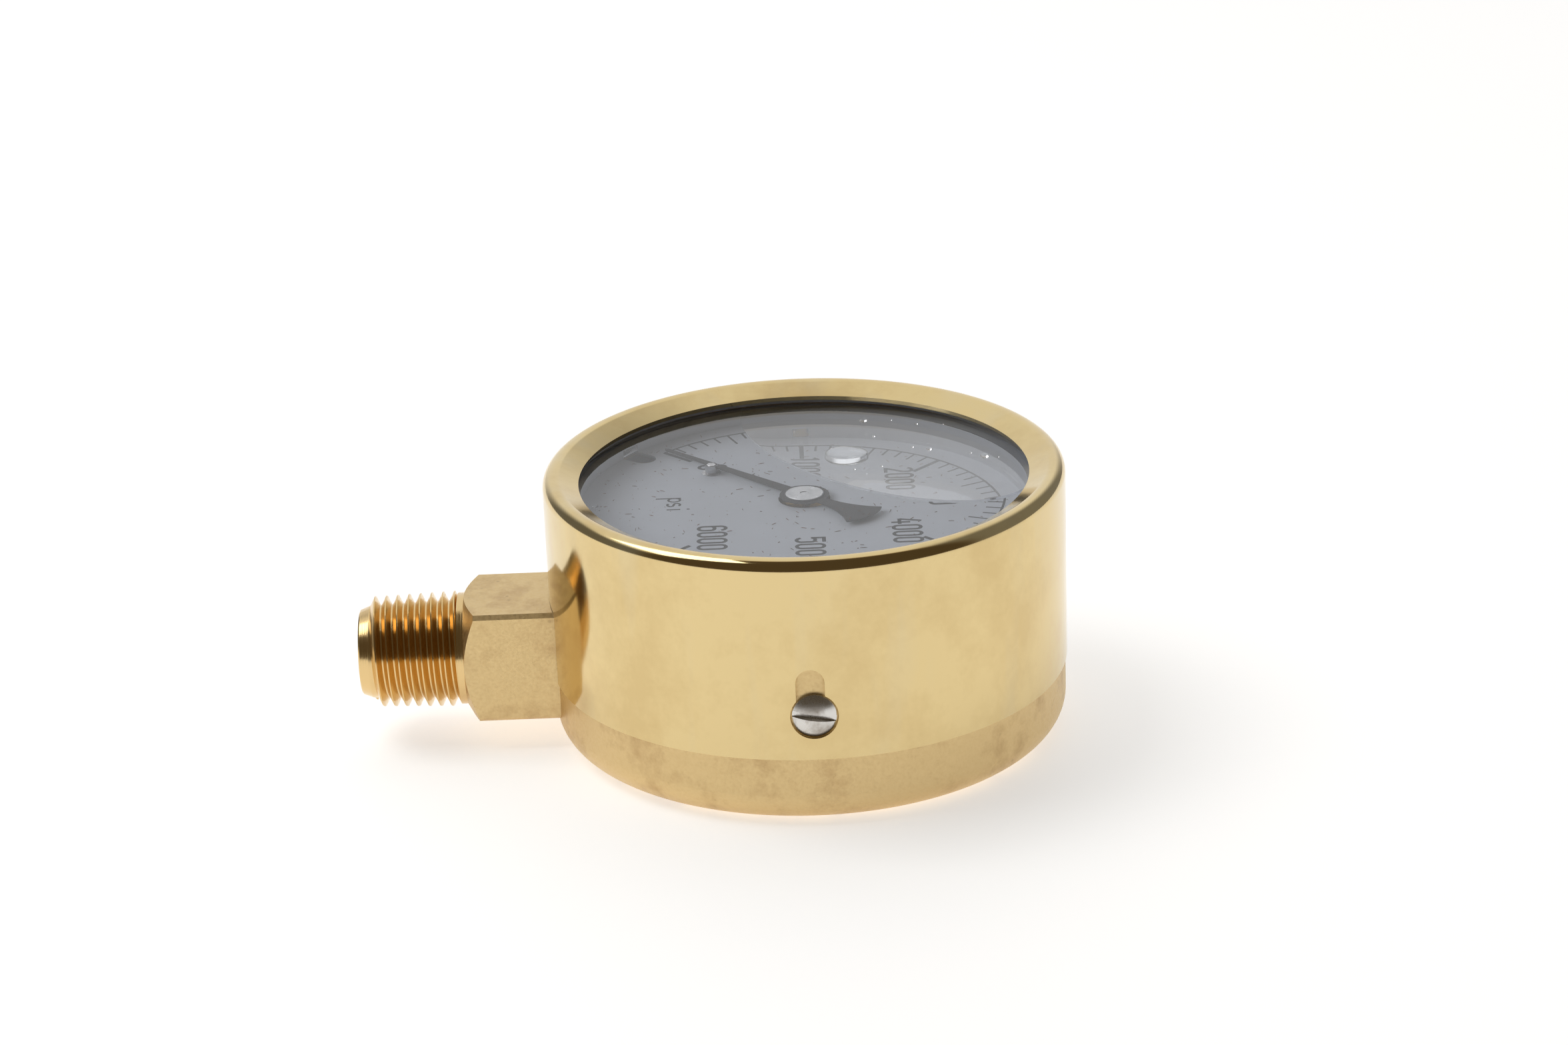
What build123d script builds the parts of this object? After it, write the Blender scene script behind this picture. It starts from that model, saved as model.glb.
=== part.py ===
from build123d import *
from math import asin, atan2, cos, degrees, radians, sin, sqrt, tan
import os

# Liquid-filled dial pressure gauge, 63 mm size, lying on its back.
# Millimetres. The origin is the centre of the flat back, +Z comes out of the dial,
# the stem points along -X (six o'clock) and twelve o'clock is +X.

os.makedirs("parts", exist_ok=True)

# Forged brass case
case_radius = 31.8
case_back_round = 3.9
case_floor = 4.0
seat_radius = 31.25
sleeve_rim_height = 8.8
movement_room_radius = 27.6
dial_shelf_height = 23.4
dial_room_radius = 28.7
case_top = 28.2

# Square and tapered pipe thread on the stem, both centred at stem_height
stem_height = 11.0
stem_square = 14.15
stem_corner = 0.5
square_end = -42.6
square_lead_angle = 30.0
collar_end = -43.45
collar_radius = 6.95
stem_end = -55.7
thread_pitch = 25.4 / 18
thread_depth = 1.1
thread_root_radius = 5.75
thread_taper = 1 / 16 / 2
thread_start = -54.4
thread_crest_flat = 0.16
thread_root_width = 1.24
thread_buried = 0.15

# Pressure port
port_radius = 2.4
port_depth = 12.0
throat_radius = 1.9
throat_end = -29.5
restrictor_place = -42.5
restrictor_length = 4.0
restrictor_orifice_radius = 0.3
feed_radius = 0.6

# Polished sleeve that carries the bezel
sleeve_radius = 32.0
sleeve_wall = 0.7
sleeve_top = 33.85
crown_radius = 1.47
lip_radius = 27.6
lip_slope = 27.0
stem_notch_gap = 0.15
keyhole_radius = 2.85
keyhole_height = 14.35
keyslot_half_width = 1.7
keyslot_top = 20.3
keyslot_shift = -0.4

# Screws that hold the sleeve
screw_head_radius = 2.63
screw_head_edge = 0.45
screw_dome_rise = 0.8
screw_shank_radius = 1.47
screw_hole_radius = 1.5
screw_depth = 3.0
screw_slot_width = 0.75
screw_slot_depth = 0.9
screw_slot_tilt = 8.5

# Window and its seals
window_radius = 30.9
window_bottom = 28.5
window_top = 31.5
seal_ring_radius = 29.95
seal_section_radius = 0.65
seal_groove_depth = 1.0
seal_groove_width = 1.5
gasket_inner_radius = 28.2

# Dial tray
dial_radius = 28.4
dial_floor_top = 24.4
dial_wall = 0.9
dial_wall_top = 28.4
dial_flange_radius = 29.1
dial_centre_hole = 3.2
vent_inner_radius = 23.8
vent_half_width = 1.45
vent_rise = 3.4
vent_azimuths = (142.0, -142.0)
wall_port_half_width = 1.1
wall_port_rise = 1.6
wall_port_azimuths = (90.0, -90.0)
stop_pin_radius = 0.8
stop_pin_reach = 15.0
stop_pin_azimuth = 139.6
stop_pin_top = 28.2
stop_pin_foot_radius = 1.2
stop_pin_foot_height = 0.25

# Filling plug in the back
plug_place = (12.0, 0.0)
plug_stem_radius = 5.0
plug_head_radius = 6.3
plug_head_height = 1.0
plug_recess = 0.2

# Coiled pressure tube
coil_radius = 13.0
coil_pitch = 3.0
coil_start_height = 5.5
coil_whole_turns = 2
tube_half_width = 0.9
tube_half_height = 1.3
tube_wall = 0.35
socket_face = -15.2
socket_half_width = 6.0
socket_top = 14.0
socket_nose_top = 6.95
socket_nose_end = -11.2
socket_nose_width = 3.5
braze_gap = 0.08

# Lever and gear train
pointer_travel = 270.0
pinion_teeth = 12
sector_teeth_full_circle = 96
gear_module = 0.35
tip_middle_azimuth = 60.0
tip_pin_reach = 17.0
tail_reach = 6.0
pinion_addendum = 0.3
pinion_dedendum = 0.45
sector_addendum = 0.28
sector_dedendum = 0.45
tooth_half_width = 0.235

# Movement frame
plate_bottom = 14.6
plate_thickness = 1.0
front_plate_bottom = 21.2
plate_half_width = 3.6
near_post_reach = -6.8
far_post_overhang = 4.9
post_radius = 1.8
post_foot_radius = 1.0
post_foot_length = 2.0
spigot_radius = 0.8
spigot_length = 3.0
pillar_radius = 1.3
running_gap = 0.03
pivot_radius = 0.5

# Sector, link and pins
sector_bottom = 16.4
sector_thickness = 0.8
link_bottom = 17.4
link_thickness = 0.5
link_half_width = 1.2
link_pin_radius = 0.6
tail_slot_half_width = 0.66
tail_slot_half_length = 0.9

# Pointer and its shaft
pointer_rest_azimuth = 134.5
pointer_bottom = 25.6
pointer_thickness = 0.4
pointer_reach = 24.7
pointer_tail_reach = 10.6
pointer_tail_half_angle = 17.0
pointer_boss_radius = 3.05
hub_radius = 2.4
hub_top = 26.6
shaft_radius = 0.8
shaft_top = 26.3

# Hairspring
hairspring_bottom = 18.8
hairspring_height = 0.6
hairspring_pitch = 0.7
hairspring_half_turns = 9
hairspring_strip = 0.14
collet_radius = 1.5

# Directions worked out from the sizes above
sector_travel = pointer_travel * pinion_teeth / sector_teeth_full_circle
pinion_pitch_radius = gear_module * pinion_teeth / 2
sector_pitch_radius = gear_module * sector_teeth_full_circle / 2
gear_centres = pinion_pitch_radius + sector_pitch_radius
link_run = sqrt(gear_centres**2 - (tip_pin_reach - tail_reach) ** 2)
sector_azimuth = tip_middle_azimuth - degrees(atan2(link_run, tip_pin_reach - tail_reach))
half_lever_move = tail_reach * sin(radians(sector_travel / 2))
tip_travel = 2 * degrees(atan2(half_lever_move, sqrt(tip_pin_reach**2 - half_lever_move**2)))
tip_rest_azimuth = tip_middle_azimuth - tip_travel / 2
tail_rest_azimuth = tip_middle_azimuth - sector_travel / 2
front_plate_top = front_plate_bottom + plate_thickness
plate_top = plate_bottom + plate_thickness


def around(azimuth, reach):
    """Point at a reach from the dial's axis, in the XY plane."""
    return (reach * cos(radians(azimuth)), reach * sin(radians(azimuth)))


def turned_plane(azimuth, height, centre=(0.0, 0.0)):
    """Plane facing +Z whose local x axis points along an azimuth."""
    x_direction = (cos(radians(azimuth)), sin(radians(azimuth)), 0)
    return Plane(origin=(centre[0], centre[1], height), x_dir=x_direction, z_dir=(0, 0, 1))


sector_centre = around(sector_azimuth, gear_centres)
tip_pin_place = around(tip_rest_azimuth, tip_pin_reach)
tail_step = around(tail_rest_azimuth, tail_reach)
link_pin_place = (sector_centre[0] + tail_step[0], sector_centre[1] + tail_step[1])
near_post = around(sector_azimuth, near_post_reach)
far_post = around(sector_azimuth, gear_centres + far_post_overhang)
side_planes = (
    Plane((0, 0, 0), x_dir=(1, 0, 0), z_dir=(0, -1, 0)),
    Plane((0, 0, 0), x_dir=(-1, 0, 0), z_dir=(0, 1, 0)),
)
stem_axis = Axis((0, 0, stem_height), (1, 0, 0))


def save(piece, name):
    """Label a finished piece and write it to its own file."""
    piece.label = name
    export_step(piece, "parts/" + name + ".step")


# ---------------------------------------------------------------- stem thread
# Tapered 18 per inch ridge that starts a little inside the cone it stands on. It runs
# one pitch past the collar and is trimmed there.
thread_run = collar_end - thread_start
thread_flank = (thread_root_width - thread_crest_flat) / 2 / thread_depth
thread_foot = thread_root_width / 2 + thread_flank * thread_buried
taper_angle = degrees(atan2(thread_taper, 1))
thread_path = Location((thread_start, 0, stem_height), (0, 90, 0)) * Helix(
    pitch=thread_pitch,
    height=thread_run + thread_pitch,
    radius=thread_root_radius,
    cone_angle=taper_angle,
)
thread_outward = Vector(0, (thread_path @ 0).Y, (thread_path @ 0).Z - stem_height).normalized()

with BuildPart() as thread_ridge:
    with BuildSketch(Plane(origin=thread_path @ 0, x_dir=thread_outward, z_dir=thread_path % 0)):
        with BuildLine():
            Polyline(
                (-thread_buried, -thread_foot),
                (thread_depth, -thread_crest_flat / 2),
                (thread_depth, thread_crest_flat / 2),
                (-thread_buried, thread_foot),
                close=True,
            )
        make_face()
    sweep(path=thread_path, is_frenet=True)

# ----------------------------------------------------------------------- case
with BuildPart() as stem:
    with BuildSketch(Plane.XZ):
        with BuildLine():
            Polyline(
                (stem_end, stem_height),
                (stem_end, stem_height + thread_root_radius - 0.5),
                (thread_start, stem_height + thread_root_radius),
                (collar_end, stem_height + thread_root_radius + thread_run * thread_taper),
                (collar_end, stem_height),
                close=True,
            )
        make_face()
    revolve(axis=stem_axis)
    add(thread_ridge.part)
    # The lead-in cone trims the first crest to a point at the stem's end.
    with BuildSketch(Plane.XZ):
        with BuildLine():
            Polyline(
                (stem_end - 2, stem_height + thread_root_radius - 0.6),
                (stem_end, stem_height + thread_root_radius - 0.6),
                (stem_end + 1.9, stem_height + thread_root_radius + thread_depth + 0.2),
                (stem_end + 1.9, stem_height + collar_radius + 3),
                (stem_end - 2, stem_height + collar_radius + 3),
                close=True,
            )
        make_face()
    revolve(axis=stem_axis, mode=Mode.SUBTRACT)
    with BuildSketch(Plane.YZ.offset(collar_end)):
        with Locations((0, stem_height)):
            Circle(collar_radius + thread_depth)
    extrude(amount=2 * thread_pitch, mode=Mode.SUBTRACT)
    with BuildSketch(Plane.YZ.offset(collar_end)):
        with Locations((0, stem_height)):
            Circle(collar_radius)
    extrude(amount=square_end - collar_end)
    with BuildSketch(Plane.YZ.offset(square_end)):
        with Locations((0, stem_height)):
            Rectangle(stem_square, stem_square)
        chamfer(vertices(), length=stem_corner)
    extrude(amount=-square_end - 28)
    # Turned lead on the end of the square.
    with BuildSketch(Plane.XZ):
        with BuildLine():
            Polyline(
                (square_end, stem_height + stem_square / 2),
                (square_end, stem_height + stem_square),
                (
                    square_end + stem_square / 2 * tan(radians(square_lead_angle)),
                    stem_height + stem_square,
                ),
                close=True,
            )
        make_face()
    revolve(axis=stem_axis, mode=Mode.SUBTRACT)

with BuildPart() as case:
    with BuildSketch(Plane.XZ):
        with BuildLine():
            Polyline(
                (0, 0),
                (case_radius, 0),
                (case_radius, sleeve_rim_height),
                (seat_radius, sleeve_rim_height),
                (seat_radius, case_top),
                (seal_ring_radius + seal_groove_width / 2, case_top),
                (seal_ring_radius + seal_groove_width / 2, case_top - seal_groove_depth),
                (seal_ring_radius - seal_groove_width / 2, case_top - seal_groove_depth),
                (seal_ring_radius - seal_groove_width / 2, case_top),
                (dial_room_radius, case_top),
                (dial_room_radius, dial_shelf_height),
                (movement_room_radius, dial_shelf_height),
                (movement_room_radius, case_floor),
                (0, case_floor),
                close=True,
            )
        make_face()
    revolve(axis=Axis.Z)
    fillet(
        edges().filter_by(GeomType.CIRCLE).group_by(Axis.Z)[0],
        radius=case_back_round,
    )
    add(stem.part)
    # Socket block inside, with a low nose that meets the coil's first turn.
    with BuildSketch(Plane.XY.offset(case_floor)):
        with Locations(((socket_face - movement_room_radius) / 2 - 0.3, 0)):
            Rectangle(movement_room_radius + socket_face + 0.6, 2 * socket_half_width)
    extrude(amount=socket_top - case_floor)
    with BuildSketch(Plane.XY.offset(case_floor)):
        with Locations(((socket_face + socket_nose_end) / 2, -socket_nose_width / 2 - braze_gap)):
            Rectangle(socket_nose_end - socket_face, socket_nose_width)
    extrude(amount=socket_nose_top - case_floor)
    # Pressure passage: port, throat, then a slanted feed to the coil.
    with BuildSketch(Plane.YZ.offset(stem_end)):
        with Locations((0, stem_height)):
            Circle(port_radius)
    extrude(amount=port_depth, mode=Mode.SUBTRACT)
    with BuildSketch(Plane.YZ.offset(stem_end)):
        with Locations((0, stem_height)):
            Circle(throat_radius)
    extrude(amount=throat_end - stem_end, mode=Mode.SUBTRACT)
    feed_start = Vector(throat_end - 1, -1.0, stem_height)
    feed_end = Vector(-coil_radius, -1.2, coil_start_height)
    with BuildSketch(Plane(origin=feed_start, z_dir=feed_end - feed_start)):
        Circle(feed_radius)
    extrude(amount=(feed_end - feed_start).length, mode=Mode.SUBTRACT)
    with BuildSketch(Plane.XZ):
        with Locations((-coil_radius, coil_start_height)):
            Circle(feed_radius)
    extrude(amount=1.6, mode=Mode.SUBTRACT)
    # Blind holes for the two sleeve screws.
    for side in side_planes:
        with BuildSketch(side.offset(seat_radius + 1)):
            with Locations((0, keyhole_height)):
                Circle(screw_hole_radius)
        extrude(amount=-screw_depth - 1, mode=Mode.SUBTRACT)
    # Sockets for the movement's posts, and the filling hole in the back.
    with BuildSketch(Plane.XY.offset(case_floor)):
        with Locations(near_post, far_post):
            Circle(post_foot_radius)
    extrude(amount=-post_foot_length - 0.2, mode=Mode.SUBTRACT)
    with BuildSketch(Plane.XY):
        with Locations(plug_place):
            Circle(plug_stem_radius)
    extrude(amount=case_floor, mode=Mode.SUBTRACT)
    with BuildSketch(Plane.XY):
        with Locations(plug_place):
            Circle(plug_head_radius + 0.1)
    extrude(amount=plug_recess + plug_head_height, mode=Mode.SUBTRACT)
save(case.part, "case")

with BuildPart() as restrictor_screw:
    with BuildSketch(Plane.YZ.offset(restrictor_place)):
        with Locations((0, stem_height)):
            Circle(throat_radius - 0.02)
            Circle(restrictor_orifice_radius, mode=Mode.SUBTRACT)
    extrude(amount=restrictor_length)
    with BuildSketch(Plane.YZ.offset(restrictor_place)):
        with Locations((0, stem_height)):
            Rectangle(3 * throat_radius, 0.6)
    extrude(amount=0.8, mode=Mode.SUBTRACT)
save(restrictor_screw.part, "restrictor_screw")

with BuildPart() as fill_plug:
    with BuildSketch(Plane.XY.offset(plug_recess)):
        with Locations(plug_place):
            Circle(plug_head_radius)
    extrude(amount=plug_head_height)
    with BuildSketch(Plane.XY.offset(plug_recess + plug_head_height)):
        with Locations(plug_place):
            Circle(plug_stem_radius - 0.02)
    extrude(amount=case_floor - plug_recess - plug_head_height)
    fillet(edges().filter_by(GeomType.CIRCLE).group_by(Axis.Z)[0], radius=0.4)
save(fill_plug.part, "fill_plug")

# --------------------------------------------------------------- bezel sleeve
crown_centre = (sleeve_radius - crown_radius, sleeve_top - crown_radius)
crown_end_angle = 90 + lip_slope
crown_end_reach = crown_centre[0] + crown_radius * cos(radians(crown_end_angle))
lip_length = (crown_end_reach - lip_radius) / cos(radians(lip_slope))


def crown_point(radius, along):
    """Point on the lip, at a radius from the crown's centre and a length along the slope."""
    reach = crown_centre[0] + radius * cos(radians(crown_end_angle)) - along * cos(radians(lip_slope))
    height = crown_centre[1] + radius * sin(radians(crown_end_angle)) - along * sin(radians(lip_slope))
    return (reach, height)


inner_crown_radius = crown_radius - sleeve_wall
with BuildPart() as bezel_sleeve:
    with BuildSketch(Plane.XZ):
        with BuildLine():
            Line((sleeve_radius, sleeve_rim_height), (sleeve_radius, crown_centre[1]))
            CenterArc(crown_centre, crown_radius, 0, crown_end_angle)
            Line(crown_point(crown_radius, 0), crown_point(crown_radius, lip_length))
            Line(crown_point(crown_radius, lip_length), crown_point(inner_crown_radius, lip_length))
            Line(crown_point(inner_crown_radius, lip_length), crown_point(inner_crown_radius, 0))
            CenterArc(crown_centre, inner_crown_radius, 0, crown_end_angle)
            Polyline(
                (sleeve_radius - sleeve_wall, crown_centre[1]),
                (sleeve_radius - sleeve_wall, sleeve_rim_height),
                (sleeve_radius, sleeve_rim_height),
            )
        make_face()
    revolve(axis=Axis.Z)
    # Notch that straddles the square of the stem.
    notch_top = stem_height + stem_square / 2 + stem_notch_gap
    with BuildSketch(Plane.YZ.offset(-sleeve_radius - 2)):
        with Locations((0, notch_top / 2)):
            Rectangle(stem_square + 2 * stem_notch_gap, notch_top)
        chamfer(vertices().group_by(Axis.Y)[-1], length=stem_corner)
    extrude(amount=8, mode=Mode.SUBTRACT)
    # Keyholes at three and nine o'clock.
    for side in side_planes:
        with BuildSketch(side.offset(sleeve_radius + 1)):
            with Locations((0, keyhole_height)):
                Circle(keyhole_radius)
            with Locations((keyslot_shift, keyslot_top - keyslot_half_width)):
                Circle(keyslot_half_width)
            with Locations((keyslot_shift, (keyhole_height + keyslot_top - keyslot_half_width) / 2)):
                Rectangle(2 * keyslot_half_width, keyslot_top - keyslot_half_width - keyhole_height)
        extrude(amount=-4, mode=Mode.SUBTRACT)
save(bezel_sleeve.part, "bezel_sleeve")

# Domed, slotted heads that stand on the case's seat.
dome_radius = (screw_head_radius**2 + screw_dome_rise**2) / (2 * screw_dome_rise)
dome_half_angle = degrees(asin(screw_head_radius / dome_radius)) / 2
dome_top = seat_radius + screw_head_edge + screw_dome_rise
dome_middle = (
    dome_top - dome_radius + dome_radius * cos(radians(dome_half_angle)),
    keyhole_height + dome_radius * sin(radians(dome_half_angle)),
)
with BuildPart() as sleeve_screws:
    for way in (1, -1):
        with BuildSketch(Plane.YZ):
            with BuildLine():
                head_corner = (way * (seat_radius + screw_head_edge), keyhole_height + screw_head_radius)
                apex = (way * dome_top, keyhole_height)
                Polyline(
                    apex,
                    (way * (seat_radius - screw_depth + 0.2), keyhole_height),
                    (way * (seat_radius - screw_depth + 0.2), keyhole_height + screw_shank_radius),
                    (way * seat_radius, keyhole_height + screw_shank_radius),
                    (way * seat_radius, keyhole_height + screw_head_radius),
                    head_corner,
                )
                ThreePointArc(head_corner, (way * dome_middle[0], dome_middle[1]), apex)
            make_face()
        revolve(axis=Axis((0, 0, keyhole_height), (0, 1, 0)))
    for side in side_planes:
        with BuildSketch(side.offset(dome_top)):
            with Locations((0, keyhole_height)):
                Rectangle(3 * screw_head_radius, screw_slot_width, rotation=-screw_slot_tilt)
        extrude(amount=-screw_slot_depth, mode=Mode.SUBTRACT)
save(sleeve_screws.part, "sleeve_screws")

# ----------------------------------------------------------- window and seals
with BuildPart() as window:
    with BuildSketch(Plane.XY.offset(window_bottom)):
        Circle(window_radius)
    extrude(amount=window_top - window_bottom)
    chamfer(edges().filter_by(GeomType.CIRCLE), length=0.2)
save(window.part, "window")

with BuildPart() as window_gasket:
    with BuildSketch(Plane.XZ):
        with BuildLine():
            Polyline(
                (gasket_inner_radius, window_top),
                (window_radius, window_top),
                (window_radius, window_top + 1.4),
                (window_radius - 0.9, window_top + 1.4),
                (gasket_inner_radius, window_top + 0.5),
                close=True,
            )
        make_face()
    revolve(axis=Axis.Z)
save(window_gasket.part, "window_gasket")

with BuildPart() as window_seal:
    with BuildSketch(Plane.XZ):
        with Locations((seal_ring_radius, window_bottom - seal_section_radius)):
            Circle(seal_section_radius)
    revolve(axis=Axis.Z)
save(window_seal.part, "window_seal")

# ----------------------------------------------------------------------- dial
with BuildPart() as dial:
    with BuildSketch(Plane.XY.offset(dial_shelf_height)):
        Circle(dial_radius)
        Circle(dial_centre_hole, mode=Mode.SUBTRACT)
    extrude(amount=dial_floor_top - dial_shelf_height)
    with BuildSketch(Plane.XY.offset(dial_floor_top)):
        Circle(dial_radius)
        Circle(dial_radius - dial_wall, mode=Mode.SUBTRACT)
    extrude(amount=dial_wall_top - dial_floor_top)
    # Flange that rests on the case and holds the dial down under the window.
    with BuildSketch(Plane.XY.offset(case_top)):
        Circle(dial_flange_radius)
        Circle(dial_radius - dial_wall, mode=Mode.SUBTRACT)
    extrude(amount=dial_wall_top - case_top)
    # Round-ended openings that let the liquid pass under the dial and up its wall.
    vent_length = dial_radius - vent_inner_radius - vent_half_width
    for azimuth in vent_azimuths:
        with BuildSketch(turned_plane(azimuth, dial_shelf_height)):
            with Locations((vent_inner_radius + vent_half_width, 0)):
                Circle(vent_half_width)
            with Locations((vent_inner_radius + vent_half_width + vent_length / 2, 0)):
                Rectangle(vent_length, 2 * vent_half_width)
        extrude(amount=dial_floor_top - dial_shelf_height, mode=Mode.SUBTRACT)
    # Ports through the wall, level with the dial's face.
    wall_middle = dial_radius - dial_wall / 2
    wall_ports = [(azimuth, vent_half_width, vent_rise) for azimuth in vent_azimuths]
    wall_ports += [(azimuth, wall_port_half_width, wall_port_rise) for azimuth in wall_port_azimuths]
    for azimuth, half_width, rise in wall_ports:
        with BuildSketch(turned_plane(azimuth, dial_floor_top)):
            with Locations((wall_middle, 0)):
                Rectangle(3 * dial_wall, 2 * half_width)
        extrude(amount=rise, mode=Mode.SUBTRACT)
    with BuildSketch(turned_plane(stop_pin_azimuth, dial_shelf_height)):
        with Locations((stop_pin_reach, 0)):
            Circle(stop_pin_radius)
    extrude(amount=dial_floor_top - dial_shelf_height, mode=Mode.SUBTRACT)
save(dial.part, "dial")

with BuildPart() as stop_pin:
    with BuildSketch(turned_plane(stop_pin_azimuth, dial_shelf_height)):
        with Locations((stop_pin_reach, 0)):
            Circle(stop_pin_radius - 0.01)
    extrude(amount=stop_pin_top - dial_shelf_height)
    with BuildSketch(turned_plane(stop_pin_azimuth, dial_floor_top)):
        with Locations((stop_pin_reach, 0)):
            Circle(stop_pin_foot_radius)
    extrude(amount=stop_pin_foot_height)
    fillet(edges().filter_by(GeomType.CIRCLE).group_by(Axis.Z)[-1], radius=0.3)
save(stop_pin.part, "stop_pin")

# ------------------------------------------------------- coiled pressure tube
coil_turns = coil_whole_turns + (180 - tip_rest_azimuth) / 360
coil_path = Location((0, 0, coil_start_height), (0, 0, 180)) * Helix(
    pitch=coil_pitch, height=coil_pitch * coil_turns, radius=coil_radius, lefthand=True
)
tip_height = coil_start_height + coil_pitch * coil_turns
with BuildPart() as bourdon_tube:
    with BuildSketch(Plane(origin=coil_path @ 0, x_dir=(1, 0, 0), z_dir=coil_path % 0)):
        Ellipse(tube_half_width, tube_half_height)
        Ellipse(tube_half_width - tube_wall, tube_half_height - tube_wall, mode=Mode.SUBTRACT)
    sweep(path=coil_path, is_frenet=True)
save(bourdon_tube.part, "bourdon_tube")

with BuildPart() as tube_tip:
    with BuildSketch(turned_plane(tip_rest_azimuth, tip_height - tube_half_height - 0.02)):
        with Locations((coil_radius, -2.1 - braze_gap)):
            Rectangle(2 * tube_half_width + 0.8, 4.2)
    extrude(amount=2 * tube_half_height + 0.04)
    with BuildSketch(turned_plane(tip_rest_azimuth, tip_height + tube_half_height - 1.0)):
        with Locations((tip_pin_reach, 0)):
            Circle(1.5)
        with BuildLine():
            Polyline(
                (coil_radius, -4.25),
                (coil_radius + 0.6, -0.2),
                (tip_pin_reach - 0.3, 1.47),
                (tip_pin_reach + 1.2, -0.9),
                close=True,
            )
        make_face()
    extrude(amount=1.0)
    with BuildSketch(turned_plane(tip_rest_azimuth, tip_height)):
        with Locations((tip_pin_reach, 0)):
            Circle(link_pin_radius)
    extrude(amount=3, mode=Mode.SUBTRACT)
save(tube_tip.part, "tube_tip")

tip_arm_bottom = tip_height + tube_half_height - 1.0
with BuildPart() as tip_pin:
    with BuildSketch(Plane.XY.offset(tip_arm_bottom)):
        with Locations(tip_pin_place):
            Circle(link_pin_radius)
    extrude(amount=link_bottom + link_thickness + 0.4 - tip_arm_bottom)
    with BuildSketch(Plane.XY.offset(tip_arm_bottom + 1.0)):
        with Locations(tip_pin_place):
            Circle(link_pin_radius + 0.35)
    extrude(amount=link_bottom - 0.05 - tip_arm_bottom - 1.0)
save(tip_pin.part, "tip_pin")

# ----------------------------------------------------------------------- link
link_span = (link_pin_place[0] - tip_pin_place[0], link_pin_place[1] - tip_pin_place[1])
link_azimuth = degrees(atan2(link_span[1], link_span[0]))
link_length = sqrt(link_span[0] ** 2 + link_span[1] ** 2)
with BuildPart() as link:
    with BuildSketch(turned_plane(link_azimuth, link_bottom, tip_pin_place)):
        with Locations((link_length / 2, 0)):
            Rectangle(link_length, 2 * link_half_width * 0.7)
        with Locations((0, 0), (link_length, 0)):
            Circle(link_half_width)
        Circle(link_pin_radius + running_gap, mode=Mode.SUBTRACT)
        with Locations((link_length, 0)):
            Circle(link_pin_radius, mode=Mode.SUBTRACT)
    extrude(amount=link_thickness)
save(link.part, "link")

with BuildPart() as link_pin:
    with BuildSketch(Plane.XY.offset(sector_bottom - 0.3)):
        with Locations(link_pin_place):
            Circle(link_pin_radius - 0.01)
    extrude(amount=link_bottom + link_thickness - sector_bottom + 0.3)
    with BuildSketch(Plane.XY.offset(link_bottom + link_thickness)):
        with Locations(link_pin_place):
            Circle(link_pin_radius + 0.35)
    extrude(amount=0.35)
save(link_pin.part, "link_pin")


# ---------------------------------------------------------------- gear train
def tooth(root_radius, pitch_radius, tip_radius, root_half, tip_half):
    """One straight-flanked tooth on the local x axis, reaching below its root circle."""
    Polygon(
        (root_radius - 0.3, -root_half),
        (root_radius, -root_half),
        (pitch_radius, -tooth_half_width),
        (tip_radius, -tip_half),
        (tip_radius, tip_half),
        (pitch_radius, tooth_half_width),
        (root_radius, root_half),
        (root_radius - 0.3, root_half),
        align=None,
    )


sector_root = sector_pitch_radius - sector_dedendum
sector_tip = sector_pitch_radius + sector_addendum
pinion_root = pinion_pitch_radius - pinion_dedendum
pinion_tip = pinion_pitch_radius + pinion_addendum
tooth_angle = 360 / sector_teeth_full_circle
teeth_in_travel = round(sector_travel / tooth_angle)
spare_teeth = 2
fan_middle = sector_azimuth + 180 - sector_travel / 2
fan_half_angle = sector_travel / 2 + (spare_teeth + 0.5) * tooth_angle
fan_corner = (sector_root * cos(radians(fan_half_angle)), sector_root * sin(radians(fan_half_angle)))
opening_half_angle = fan_half_angle - 9
opening_outer = sector_root - 2.2
opening_inner = 5.6

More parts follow.
